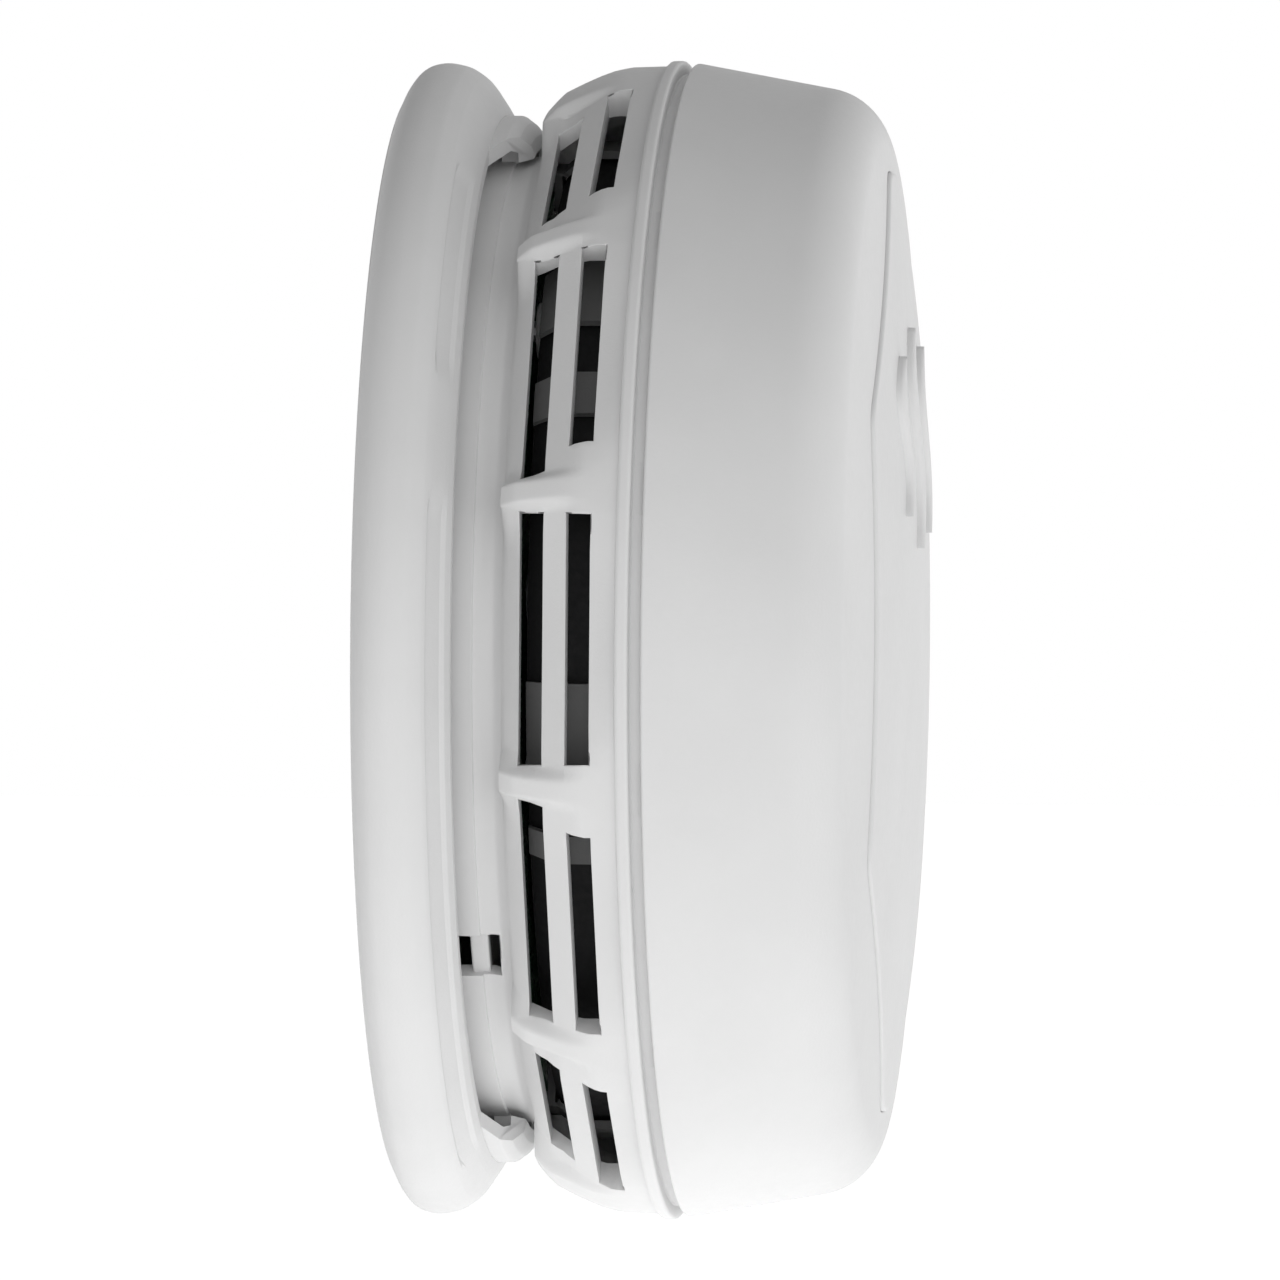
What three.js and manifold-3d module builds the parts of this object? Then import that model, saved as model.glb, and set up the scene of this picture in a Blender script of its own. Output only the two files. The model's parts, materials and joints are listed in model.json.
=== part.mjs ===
// Smoke alarm on its wall bracket.
// Every piece is drawn with x across, y up and z out from the wall, in millimetres. The last group turns
// the drawing so that +Z is up and the front of the alarm faces -Y. The origin is the centre of the
// bracket's back face.
import * as THREE from "three";
import { mergeVertices } from "three/addons/utils/BufferGeometryUtils.js";
import Module from "manifold-3d";

const wasm = await Module();
wasm.setup();

// ---- driving dimensions ----
const FACETS = 12;
const ROUND = 3 * FACETS;
const FACET_ANGLE = (2 * Math.PI) / FACETS;
const FIRST_CORNER = 1.5 * Math.PI - FACET_ANGLE / 2;
const WALL = 2.2;
const GAP = 0.35;
const DEG = Math.PI / 180;

const COVER_RADIUS = 71;
const COVER_EDGE_Z = 34.9;
const COVER_TAPER = 10.4 * DEG;
const COVER_FILLET = 8;
const FRONT_Z = 62;
const DOME_RADIUS = 500;
const DOME_CENTRE_Z = FRONT_Z - DOME_RADIUS;

const PLATE_THICKNESS = 2;
const COLLAR_INNER = 62.3;
const COLLAR_OUTER = 64.3;
const COLLAR_TOP_Z = 11.6;
const CLAW_HALF_ANGLE = 13.5 * DEG;
const LUG_HALF_ANGLE = 12 * DEG;

const FLOOR_Z = 5.5;
const FLOOR_TOP_Z = 7.5;
const NECK_RADIUS = 59.5;
const RIB_BACK_Z = 17.4;
const LIP_BACK_Z = 31;
const LIP_FRONT_Z = 33.4;
const SPIGOT_RADIUS = 68.2;
const SPIGOT_TOP_Z = 36;
// z range of each row of slots, and where a facet's slots start and end along it. The facets are counted
// from the left and right sides of the alarm; those at its top and bottom have no slots.
const SLOT_ROWS_Z = [[19.8, 22.8], [25.7, 28.7]];
const SLOT_SPANS = [
  [[-14.9, 14.9], [-14.9, 14.9]],
  [[-14.9, 14.9], [-12.5, 14.9]],
  [[-10.6, 12.5], [-10.6, 14.9]],
];
const WINDOW_ANGLES = [219.8 * DEG, 39.8 * DEG];
const WINDOW_WIDTH = 6.4;
const WINDOW_GAPS_Z = [[10.6, 12.5], [14.5, 16]];
const GROOVE_RADIUS = 69.2;

const BOARD_Z = 17;
const BOARD_TOP_Z = 18.6;
const BOARD_RADIUS = 56;
const ON_BOARD_Z = BOARD_TOP_Z + 0.3;
const POST_RADIUS = 3.5;
const BOARD_SCREWS = [[-8, 45.3], [-43.2, -15.7], [39.8, -23]];
const COVER_SCREWS = [[37, 37], [-37, 37], [25, -46.5]];

const PANEL_QUARTER = [[40, 27], [5, 57.5]];
const PANEL_HALF = [...PANEL_QUARTER, ...PANEL_QUARTER.map(([x, y]) => [-x, y]).reverse()];
const PANEL_CORNERS = [...PANEL_HALF, ...PANEL_HALF.map(([x, y]) => [-x, -y])];
const PANEL_RAISE = 0.4;
const EMBLEM_RAISE = 0.8;
const EMBLEM_Y = 25;
const EMBLEM_HEIGHT = 27;
const STEM_Y = -38;

const DRAWER_HALF_WIDTH = 29;
const DRAWER_BACK_Z = 36.5;
const DRAWER_FRONT_Z = 55;
const DRAWER_INNER_X = 24.2;
const DRAWER_FACE_X = 56.6;
const BATTERY = { x: 39.25, y: 1.4, z: 46.25, width: 26.5, height: 46, depth: 17.5 };
const TERMINAL_SPACING = 12.7;

// Degrees from +x: the spans of the screen frame's posts, and the middles of its feet.
const SCREEN_POSTS = [[132.8, 142.2], [149.1, 154.3], [184.9, 194.5], [202.2, 205.5]];
const SCREEN_FEET = [15, 105, 255];

const CHAMBER = { x: 0, y: 12, radius: 21 };
const HORN = { x: -22, y: -22.6, radius: 17 };
const LED = { x: 42, y: -33 };

// ---- materials ----
function material(colour, roughness, metalness = 0) {
  return new THREE.MeshStandardMaterial({ color: colour, roughness, metalness });
}

const whitePlastic = material(0xe9e9e8, 0.55);
const blackPlastic = material(0x161617, 0.6);
const greyPlastic = material(0xb9bab9, 0.6);
const fibreglass = material(0x2f6b3d, 0.5);
const steel = material(0xb4b6ba, 0.35, 0.9);
const brass = material(0xc9a552, 0.35, 0.9);
const ceramic = material(0xe4dfd2, 0.7);
const clear = material(0xdfe7ea, 0.15);
const sleeve = material(0x8f9496, 0.5);

// ---- solids ----
function toSolid(geometry) {
  geometry.deleteAttribute("normal");
  geometry.deleteAttribute("uv");
  const merged = mergeVertices(geometry, 1e-4);
  const index = merged.index.array;
  const triangles = [];
  for (let i = 0; i < index.length; i += 3) {
    const [a, b, c] = [index[i], index[i + 1], index[i + 2]];
    if (a !== b && b !== c && c !== a) triangles.push(a, b, c);
  }
  const vertProperties = new Float32Array(merged.attributes.position.array);
  const triVerts = new Uint32Array(triangles);
  return new wasm.Manifold(new wasm.Mesh({ numProp: 3, vertProperties, triVerts }));
}

function toGeometry(solid) {
  const mesh = solid.getMesh();
  const geometry = new THREE.BufferGeometry();
  geometry.setAttribute("position", new THREE.BufferAttribute(new Float32Array(mesh.vertProperties), 3));
  geometry.setIndex(new THREE.BufferAttribute(new Uint32Array(mesh.triVerts), 1));
  geometry.computeVertexNormals();
  return geometry;
}

function join(...solids) {
  return solids.reduce((whole, solid) => whole.add(solid));
}

// A solid of revolution about z from an outline of [radius, z] points, whichever way round they are listed.
// The outline closes on itself, or along the axis where it starts and ends there.
function turned(outline, segments = ROUND, start = FIRST_CORNER) {
  const points = outline.map(([radius, z]) => new THREE.Vector2(radius, z));
  if (THREE.ShapeUtils.area(points) < 0) points.reverse();
  const onAxis = points.filter((point) => point.x === 0).length;
  if (onAxis === 0) points.push(points[0].clone());
  while (onAxis && !(points[0].x === 0 && points.at(-1).x === 0)) points.push(points.shift());
  return toSolid(new THREE.LatheGeometry(points, segments, start).rotateX(Math.PI / 2));
}

function rod(x, y, radius, z0, z1, segments = 12) {
  const geometry = new THREE.CylinderGeometry(radius, radius, z1 - z0, segments);
  return toSolid(geometry.rotateX(Math.PI / 2).translate(x, y, (z0 + z1) / 2));
}

function block(x0, x1, y0, y1, z0, z1) {
  const geometry = new THREE.BoxGeometry(x1 - x0, y1 - y0, z1 - z0);
  return toSolid(geometry.translate((x0 + x1) / 2, (y0 + y1) / 2, (z0 + z1) / 2));
}

// A block that stands out along a radius at the given angle from +x.
function radialBlock(angle, r0, r1, width, z0, z1) {
  const geometry = new THREE.BoxGeometry(r1 - r0, width, z1 - z0);
  return toSolid(geometry.translate((r0 + r1) / 2, 0, (z0 + z1) / 2).rotateZ(angle));
}

function prism(shape, z0, z1, curveSegments = 8) {
  const settings = { depth: z1 - z0, bevelEnabled: false, curveSegments };
  return toSolid(new THREE.ExtrudeGeometry(shape, settings).translate(0, 0, z0));
}

function polygon(corners) {
  return new THREE.Shape(corners.map(([x, y]) => new THREE.Vector2(x, y)));
}

function sector(inner, outer, middle, halfAngle, z0, z1) {
  const shape = new THREE.Shape();
  shape.absarc(0, 0, outer, middle - halfAngle, middle + halfAngle, false);
  shape.absarc(0, 0, inner, middle + halfAngle, middle - halfAngle, true);
  return prism(shape, z0, z1);
}

function arcPoints(centreR, centreZ, radius, from, to, steps) {
  return Array.from({ length: steps + 1 }, (_, i) => {
    const angle = from + ((to - from) * i) / steps;
    return [centreR + radius * Math.cos(angle), centreZ + radius * Math.sin(angle)];
  });
}

// ---- outlines of the cover and its crowned front ----
function domeZ(radius, offset = 0) {
  return DOME_CENTRE_Z + Math.sqrt((DOME_RADIUS + offset) ** 2 - radius ** 2);
}

// From the skirt edge over the fillet to the axis, moved inwards by inset.
function coverOutline(inset, edgeZ) {
  const along = [Math.cos(COVER_TAPER), Math.sin(COVER_TAPER)];
  const skirt = COVER_RADIUS * along[0] + COVER_EDGE_Z * along[1];
  const across = skirt - COVER_FILLET - DOME_CENTRE_Z * along[1];
  const reach = Math.sqrt((DOME_RADIUS - COVER_FILLET) ** 2 - across ** 2) + DOME_CENTRE_Z * along[0];
  const centreR = (skirt - COVER_FILLET) * along[0] - reach * along[1];
  const centreZ = (skirt - COVER_FILLET) * along[1] + reach * along[0];
  const domeAngle = Math.atan2(centreZ - DOME_CENTRE_Z, centreR);
  const edgeR = (skirt - inset - edgeZ * along[1]) / along[0];
  const fillet = arcPoints(centreR, centreZ, COVER_FILLET - inset, COVER_TAPER, domeAngle, 6);
  const domeEdge = fillet.at(-1)[0];
  const dome = [0.75, 0.5, 0.25, 0].map((part) => [domeEdge * part, domeZ(domeEdge * part, -inset)]);
  return [[edgeR, edgeZ], ...fillet, ...dome];
}

function coverEnvelope(inset, edgeZ) {
  return turned([[0, edgeZ], ...coverOutline(inset, edgeZ)]);
}

// The layer between two offsets from the crowned front, as wide as the whole panel.
function domeLayer(low, high) {
  const radii = [0, 15, 30, 45, 60];
  const top = radii.map((radius) => [radius, domeZ(radius, high)]);
  const bottom = radii.map((radius) => [radius, domeZ(radius, low)]).reverse();
  return turned([...top, ...bottom]);
}

function panelPrism(outset) {
  const corners = PANEL_CORNERS.map(([x, y]) => {
    const corner = new THREE.Vector2(x, y);
    return corner.setLength(corner.length() + outset).toArray();
  });
  return prism(polygon(corners), 40, FRONT_Z + 4);
}

// ---- wall bracket ----
function mountingBracket() {
  const rim = [[66.7, 0], [68.6, 1], [70, 2.2], [70.6, 4.1], [70.2, 6.5], [68.6, 9], [68.1, 9]];
  const collar = [[66.2, 10.6], [COLLAR_OUTER, COLLAR_TOP_Z], [COLLAR_INNER, COLLAR_TOP_Z]];
  const dish = [[COLLAR_INNER, PLATE_THICKNESS], [0, PLATE_THICKNESS], [0, 0]];
  const rimHollow = [[64.3, -1], [66.3, -1], [66.3, 8], [64.3, 9.2]];
  const claw = [[64.2, 11], [64.2, 13.4], [63.3, 14.6], [61.9, 15.6], [60.1, 16.2],
    [60.1, 14.4], [61.5, 14.4], [62.3, 13.9], [62.3, 11]];
  const clawRing = turned(claw);
  let bracket = turned([...rim, ...collar, ...dish]).subtract(turned(rimHollow));
  for (const middle of [Math.PI / 2, -Math.PI / 2]) {
    bracket = bracket.add(clawRing.intersect(sector(55, 70, middle, CLAW_HALF_ANGLE, 10, 17)));
    bracket = bracket.subtract(sector(18, 50, middle, 48 * DEG, -1, PLATE_THICKNESS + 1));
  }
  for (const middle of [0, Math.PI]) {
    bracket = bracket.subtract(sector(39, 44, middle, 9 * DEG, -1, PLATE_THICKNESS + 1));
  }
  return bracket;
}

// ---- rear housing: floor, neck, vented facets, lip and spigot ----
// Distances from the axis to the middle of a flat facet.
const FACET_OUTLINE = [[58.9, 15], [59.4, 16.4], [60.5, RIB_BACK_Z], [63.5, 19.8], [64.5, 21.3],
  [65.8, 22.8], [68.5, 27.2], [69.5, LIP_BACK_Z + 0.5]];
const FACET_LIMIT = [[59.2, 15], [59.6, 16.6], [60.6, RIB_BACK_Z], [63.8, 18.2], [66.5, 19.8],
  [68, 21.5], [69.3, 24.5], [70.2, 27.1], [70.3, LIP_BACK_Z + 0.5]];
const RIB_LIMIT = [[65.2, RIB_BACK_Z], [66.1, 18.2], [67.2, 19.2], [68.2, 21.2], [69.1, 23.2],
  [69.8, 25.1], [70.2, 27.1], [70.3, LIP_BACK_Z + 0.5]];

function filled(outline) {
  return [[0, outline[0][1]], ...outline, [0, outline.at(-1)[1]]];
}

function faceted(outline) {
  const corners = outline.map(([distance, z]) => [distance / Math.cos(FACET_ANGLE / 2), z]);
  return turned(filled(corners), FACETS);
}

function ventRing() {
  let ring = faceted(FACET_OUTLINE).intersect(turned(filled(FACET_LIMIT)));
  const ribLimit = turned(filled(RIB_LIMIT));
  for (let i = 0; i < FACETS; i += 1) {
    const corner = Math.PI + (i + 0.5) * FACET_ANGLE;
    const rib = radialBlock(corner, 57, 72, 2.5, RIB_BACK_Z, LIP_BACK_Z + 0.5);
    ring = ring.add(rib.intersect(ribLimit));
  }
  for (const middle of [Math.PI / 2, -Math.PI / 2]) {
    const solidPart = sector(57, 72, middle, FACET_ANGLE / 2, RIB_BACK_Z, LIP_BACK_Z + 0.5);
    ring = ring.add(solidPart.intersect(ribLimit));
  }
  return ring;
}

function ventSlots() {
  const slots = [];
  for (let i = 0; i < FACETS; i += 1) {
    const fromSide = i % (FACETS / 2);
    const mirrored = fromSide > FACETS / 4;
    const spans = SLOT_SPANS[mirrored ? FACETS / 2 - fromSide : fromSide] ?? [];
    spans.forEach(([from, to], row) => {
      const [z0, z1] = SLOT_ROWS_Z[row];
      const middle = (mirrored ? -1 : 1) * (from + to) / 2;
      const slot = block(55, 75, middle - (to - from) / 2, middle + (to - from) / 2, z0, z1);
      slots.push(slot.rotate([0, 0, (Math.PI + i * FACET_ANGLE) / DEG]));
    });
  }
  return join(...slots);
}

function rearHousing() {
  const neck = turned([[0, FLOOR_Z], [58, FLOOR_Z], [NECK_RADIUS, 7], [NECK_RADIUS, 13.7], [59.2, 13.7],
    [59.2, 17], [0, 17]]);
  const lip = turned([[0, LIP_BACK_Z], [COVER_RADIUS, LIP_BACK_Z], [COVER_RADIUS, LIP_FRONT_Z],
    [GROOVE_RADIUS, LIP_FRONT_Z], [GROOVE_RADIUS, COVER_EDGE_Z - GAP], [SPIGOT_RADIUS, COVER_EDGE_Z - GAP],
    [SPIGOT_RADIUS, SPIGOT_TOP_Z], [0, SPIGOT_TOP_Z]]);
  const neckRoom = turned([[0, FLOOR_TOP_Z], [57.2, FLOOR_TOP_Z], [57.2, 16], [0, 16]]);
  const facetRoom = faceted([[57.2, 15.5], [58.3, RIB_BACK_Z], [61.2, 19.8], [63.5, 22.8],
    [64.8, 26.5], [64.8, 32]]);
  const lipRoom = turned([[0, LIP_BACK_Z], [66, LIP_BACK_Z], [66, SPIGOT_TOP_Z + 1], [0, SPIGOT_TOP_Z + 1]]);
  const rooms = join(neckRoom, facetRoom, lipRoom);
  let housing = join(neck, ventRing(), lip).subtract(rooms).subtract(ventSlots());
  for (const middle of [Math.PI / 2, -Math.PI / 2]) {
    housing = housing.add(sector(58.5, 61.8, middle, LUG_HALF_ANGLE, 11.9, 13.9));
  }
  for (const angle of WINDOW_ANGLES) {
    for (const [z0, z1] of WINDOW_GAPS_Z) {
      housing = housing.subtract(radialBlock(angle, 55, 62, WINDOW_WIDTH, z0, z1));
    }
  }
  for (const [x, y] of [...BOARD_SCREWS, ...COVER_SCREWS]) {
    housing = housing.add(rod(x, y, POST_RADIUS, FLOOR_TOP_Z - 0.5, BOARD_Z - 0.3));
  }
  for (const [x, y] of BOARD_SCREWS) {
    housing = housing.subtract(rod(x, y, 1.6, 9, BOARD_Z + 1, 10));
  }
  for (const [x, y] of COVER_SCREWS) {
    housing = housing.subtract(rod(x, y, 1.9, FLOOR_Z - 1, BOARD_Z + 1, 10));
  }
  return housing;
}

// ---- front cover and what moves in it ----
function frontCover() {
  let cover = coverEnvelope(0, COVER_EDGE_Z).subtract(coverEnvelope(WALL, COVER_EDGE_Z - 1));
  const underCover = coverEnvelope(WALL / 2, ON_BOARD_Z + 0.2);
  for (const [x, y] of COVER_SCREWS) {
    const boss = rod(x, y, POST_RADIUS, ON_BOARD_Z + 0.2, FRONT_Z).intersect(underCover);
    cover = cover.add(boss.subtract(rod(x, y, 1.7, ON_BOARD_Z - 1, 34, 10)));
  }
  const drawerHole = block(50, 75, -DRAWER_HALF_WIDTH - GAP, DRAWER_HALF_WIDTH + GAP,
    DRAWER_BACK_Z - GAP, DRAWER_FRONT_Z + GAP);
  return cover.subtract(drawerHole).subtract(panelPrism(GAP)).subtract(rod(LED.x, LED.y, 1.9, 50, FRONT_Z));
}

// One rising wisp of smoke: a ribbon whose middle line is a sine wave and whose ends taper.
function wispShape(x) {
  const steps = 12;
  const side = (sign) => Array.from({ length: steps + 1 }, (_, i) => {
    const part = i / steps;
    const halfWidth = 0.6 + 2 * Math.sin(Math.PI * part);
    const middle = x + 3.2 * Math.sin(2 * Math.PI * part);
    return [middle + sign * halfWidth, EMBLEM_Y + EMBLEM_HEIGHT * (part - 0.5)];
  });
  return polygon([...side(1), ...side(-1).reverse()]);
}

function testButton() {
  const face = panelPrism(0).intersect(domeLayer(-3, PANEL_RAISE));
  const flange = panelPrism(1.5).intersect(domeLayer(-3.5, -2.6));
  const stem = rod(0, STEM_Y, 2.2, 24.2, domeZ(-STEM_Y, -3), 12);
  let button = join(face, flange, stem);
  const emblemLayer = domeLayer(0, PANEL_RAISE + EMBLEM_RAISE);
  for (const x of [-14, 0, 14]) {
    button = button.add(prism(wispShape(x), 50, FRONT_Z + 4).intersect(emblemLayer));
  }
  return button;
}

function batteryDrawer() {
  const envelope = coverEnvelope(0, COVER_EDGE_Z);
  const face = block(DRAWER_FACE_X, 75, -DRAWER_HALF_WIDTH, DRAWER_HALF_WIDTH, DRAWER_BACK_Z, DRAWER_FRONT_Z);
  const grip = block(66.5, 75, -10, 10, DRAWER_BACK_Z - 1, DRAWER_BACK_Z + 5);
  const floor = block(DRAWER_INNER_X, DRAWER_FACE_X + 1, -26.3, 26, DRAWER_BACK_Z, DRAWER_BACK_Z + 0.7);
  const backWall = block(DRAWER_INNER_X, DRAWER_INNER_X + 1.4, -23, 26, DRAWER_BACK_Z, 52);
  const sideWall = block(DRAWER_INNER_X, DRAWER_FACE_X + 1, 24.8, 26, DRAWER_BACK_Z, 52);
  const lowLip = block(DRAWER_INNER_X, DRAWER_FACE_X + 1, -26.3, -25.1, DRAWER_BACK_Z, 41);
  return join(face.intersect(envelope).subtract(grip), floor, backWall, sideWall, lowLip);
}

// ---- battery and its contacts ----
function battery() {
  const { x, y, z, width, height, depth } = BATTERY;
  const shape = new THREE.Shape();
  const corner = 2;
  shape.moveTo(-width / 2 + corner, -depth / 2);
  for (const [cx, cz, from] of [[1, -1, -90], [1, 1, 0], [-1, 1, 90], [-1, -1, 180]]) {
    const centre = [cx * (width / 2 - corner), cz * (depth / 2 - corner)];
    shape.absarc(...centre, corner, from * DEG, (from + 90) * DEG, false);
  }
  const settings = { depth: height, bevelEnabled: false, curveSegments: 3 };
  const geometry = new THREE.ExtrudeGeometry(shape, settings).rotateX(Math.PI / 2);
  return toSolid(geometry.translate(x, y + height / 2, z));
}

function batteryTerminal(side, radius) {
  const geometry = new THREE.CylinderGeometry(radius, radius, 2.5, 16);
  const base = BATTERY.y - BATTERY.height / 2;
  return toSolid(geometry.translate(BATTERY.x + (side * TERMINAL_SPACING) / 2, base - 1.6, BATTERY.z));
}

// A leaf that stands on the board and bends over to touch a terminal; drawn in y and z, 4 mm wide.
function batteryContact(side) {
  const outline = polygon([[-28.6, ON_BOARD_Z], [-28, ON_BOARD_Z], [-28, 43.2], [-25, 44.2], [-25, 49],
    [-25.6, 49], [-25.6, 44.8], [-28.6, 43.8]]);
  const geometry = new THREE.ExtrudeGeometry(outline, { depth: 4, bevelEnabled: false });
  geometry.rotateX(Math.PI / 2).rotateZ(Math.PI / 2);
  return toSolid(geometry.translate(BATTERY.x + (side * TERMINAL_SPACING) / 2 - 2, 0, 0));
}

// ---- circuit board and its screws ----
function circuitBoard() {
  let board = rod(0, 0, BOARD_RADIUS, BOARD_Z, BOARD_TOP_Z, ROUND);
  for (const [x, y] of BOARD_SCREWS) board = board.subtract(rod(x, y, 1.7, BOARD_Z - 1, BOARD_TOP_Z + 1, 12));
  for (const [x, y] of COVER_SCREWS) board = board.subtract(rod(x, y, 2.1, BOARD_Z - 1, BOARD_TOP_Z + 1, 12));
  return board;
}

function boardScrew([x, y]) {
  const head = rod(x, y, 2.8, ON_BOARD_Z, ON_BOARD_Z + 1.9);
  const cross = join(block(x - 1.6, x + 1.6, y - 0.4, y + 0.4, ON_BOARD_Z + 1, 22),
    block(x - 0.4, x + 0.4, y - 1.6, y + 1.6, ON_BOARD_Z + 1, 22));
  return head.add(rod(x, y, 1.25, 10.5, ON_BOARD_Z + 0.5, 10)).subtract(cross);
}

function coverScrew([x, y]) {
  const head = rod(x, y, 2.9, FLOOR_Z - 2.5, FLOOR_Z - 0.3);
  const cross = join(block(x - 1.7, x + 1.7, y - 0.4, y + 0.4, 0, FLOOR_Z - 1.5),
    block(x - 0.4, x + 0.4, y - 1.7, y + 1.7, 0, FLOOR_Z - 1.5));
  return head.add(rod(x, y, 1.3, FLOOR_Z - 1, 31, 10)).subtract(cross);
}

// ---- smoke chamber ----
function chamberBase() {
  const { x, y, radius } = CHAMBER;
  const disc = rod(x, y, radius, ON_BOARD_Z, ON_BOARD_Z + 2, 32);
  const saddles = [-7, 7].map((side) => block(x + side - 2.5, x + side + 2.5, y - 2, y + 2, 20, 23.2));
  return join(disc, ...saddles);
}

function chamberCap() {
  const { x, y, radius } = CHAMBER;
  const lid = rod(x, y, radius, 36, 38, 32);
  const vanes = Array.from({ length: 12 }, (_, i) => {
    const vane = new THREE.BoxGeometry(1.2, 7, 15).rotateZ(50 * DEG).translate(16.5, 0, 28.9);
    return toSolid(vane.rotateZ((i * Math.PI) / 6).translate(x, y, 0));
  });
  return join(lid, ...vanes);
}

function insectScreen() {
  const screen = turned([[21.5, ON_BOARD_Z], [22.1, ON_BOARD_Z], [22.1, 37.5], [21.5, 37.5]], 32, 0);
  return screen.translate([CHAMBER.x, CHAMBER.y, 0]);
}

function opticalPart(side, radius) {
  const body = new THREE.CylinderGeometry(radius, radius, 5, 14).rotateZ(Math.PI / 2);
  return toSolid(body.translate(CHAMBER.x + side * 7, CHAMBER.y, 23.5 + radius));
}

// ---- screen behind the vent slots ----
function ventScreen() {
  return turned([[58.3, 20.2], [60.9, 23.6], [60.9, 35.5], [60.3, 35.5], [60.3, 23.8], [57.6, 20.2]]);
}

// A hoop in front of the screen with posts down to three feet on the board.
function screenFrame() {
  const wall = turned([[59.4, 20.2], [62.2, 23.6], [62.2, 35.7], [61.2, 35.7], [61.2, 23.5], [58.6, 20.2]]);
  const hoop = wall.intersect(rod(0, 0, 70, 31.5, 36, 48));
  const posts = SCREEN_POSTS.map(([from, to]) => wall.intersect(
    sector(50, 70, ((from + to) / 2) * DEG, ((to - from) / 2) * DEG, 20, 36)));
  const feet = SCREEN_FEET.map((angle) => join(
    wall.intersect(radialBlock(angle * DEG, 50, 70, 5, 20, 36)),
    radialBlock(angle * DEG, 54.5, 59.4, 5, ON_BOARD_Z, 19.85),
    radialBlock(angle * DEG, 59, 59.4, 5, 19.5, 20.6)));
  return join(hoop, ...posts, ...feet);
}

// ---- horn ----
function hornHousing() {
  const { x, y, radius } = HORN;
  const wall = [[radius - 2, ON_BOARD_Z], [radius, ON_BOARD_Z], [radius, 40.5], [radius - 1.5, 42]];
  const top = [[5, 42], [5, 40], [radius - 2, 40]];
  const ledge = [[radius - 2, 23.7], [12.6, 23.7], [12.6, 22], [radius - 2, 21]];
  return turned([...wall, ...top, ...ledge], 36, 0).translate([x, y, 0]);
}

function hornContact(index) {
  const angle = (index * 2 * Math.PI) / 3;
  const outline = polygon([[0, ON_BOARD_Z], [0.6, ON_BOARD_Z], [0.6, 23.1], [3.4, 23.1],
    [3.4, 23.7], [0, 23.7]]);
  const geometry = new THREE.ExtrudeGeometry(outline, { depth: 2, bevelEnabled: false });
  geometry.rotateX(Math.PI / 2).translate(6, 1, 0).rotateZ(angle);
  return toSolid(geometry.translate(HORN.x, HORN.y, 0));
}

// ---- small parts on the board ----
function tactSwitch() {
  return block(-3, 3, STEM_Y - 3, STEM_Y + 3, ON_BOARD_Z, 22.4).subtract(rod(0, STEM_Y, 1.9, 20.4, 23, 14));
}

function statusLed() {
  const body = rod(LED.x, LED.y, 1.5, ON_BOARD_Z, 22.5, 16);
  const flange = rod(LED.x, LED.y, 1.9, ON_BOARD_Z, 19.9, 16);
  const lens = new THREE.SphereGeometry(1.5, 16, 8).translate(LED.x, LED.y, 22.5);
  return join(body, flange, toSolid(lens));
}

function lightPipe() {
  const tip = domeZ(Math.hypot(LED.x, LED.y));
  return join(rod(LED.x, LED.y, 1.5, 24.5, tip, 16), rod(LED.x, LED.y, 2.4, 54.5, 56, 16));
}

function controlChip() {
  const body = block(26.2, 33.8, 4, 24, 19.6, 22.8);
  const legs = [];
  for (let i = 0; i < 8; i += 1) {
    const y = 14 + 2.54 * (i - 3.5);
    legs.push(block(25.2, 26.4, y - 0.4, y + 0.4, ON_BOARD_Z, 21.4));
    legs.push(block(33.6, 34.8, y - 0.4, y + 0.4, ON_BOARD_Z, 21.4));
  }
  return join(body, ...legs);
}

function canCapacitor(x, y, radius, height) {
  const top = ON_BOARD_Z + height;
  const can = turned([[0, ON_BOARD_Z], [radius, ON_BOARD_Z], [radius, 20.3], [radius - 0.5, 20.8],
    [radius, 21.3], [radius, top - 0.5], [radius - 0.5, top], [0, top]], 24, 0);
  return can.translate([x, y, 0]);
}

function varistor() {
  const disc = new THREE.CylinderGeometry(5, 5, 3.6, 20).rotateZ(Math.PI / 2).translate(44, 14, 26.5);
  const legs = [11.5, 16.5].map((y) => block(43.6, 44.4, y - 0.3, y + 0.3, ON_BOARD_Z, 24));
  return join(toSolid(disc), ...legs);
}

function inductor() {
  const drum = turned([[0, ON_BOARD_Z], [4, ON_BOARD_Z], [4, 20.4], [3.2, 20.7], [3.2, 26.3], [4, 26.6],
    [4, 28], [0, 28]], 24, 0);
  return drum.translate([40, -6, 0]);
}

function resistor(index) {
  const y = -14 - 6 * index;
  const body = new THREE.CylinderGeometry(1.2, 1.2, 6.4, 12).rotateZ(Math.PI / 2).translate(18, y, 20.8);
  const wire = new THREE.CylinderGeometry(0.3, 0.3, 10, 8).rotateZ(Math.PI / 2).translate(18, y, 20.8);
  const legs = [13.2, 22.8].map((x) => rod(x, y, 0.35, ON_BOARD_Z, 21, 8));
  return join(toSolid(body), toSolid(wire), ...legs);
}

function ratingsLabel() {
  return block(-22, 22, -15, 15, FLOOR_Z - 0.5, FLOOR_Z - 0.3);
}

// ---- assembly ----
const alarm = new THREE.Group();
alarm.rotation.x = Math.PI / 2;

function place(name, solid, finish) {
  const mesh = new THREE.Mesh(toGeometry(solid), finish);
  mesh.name = name;
  alarm.add(mesh);
}

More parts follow.
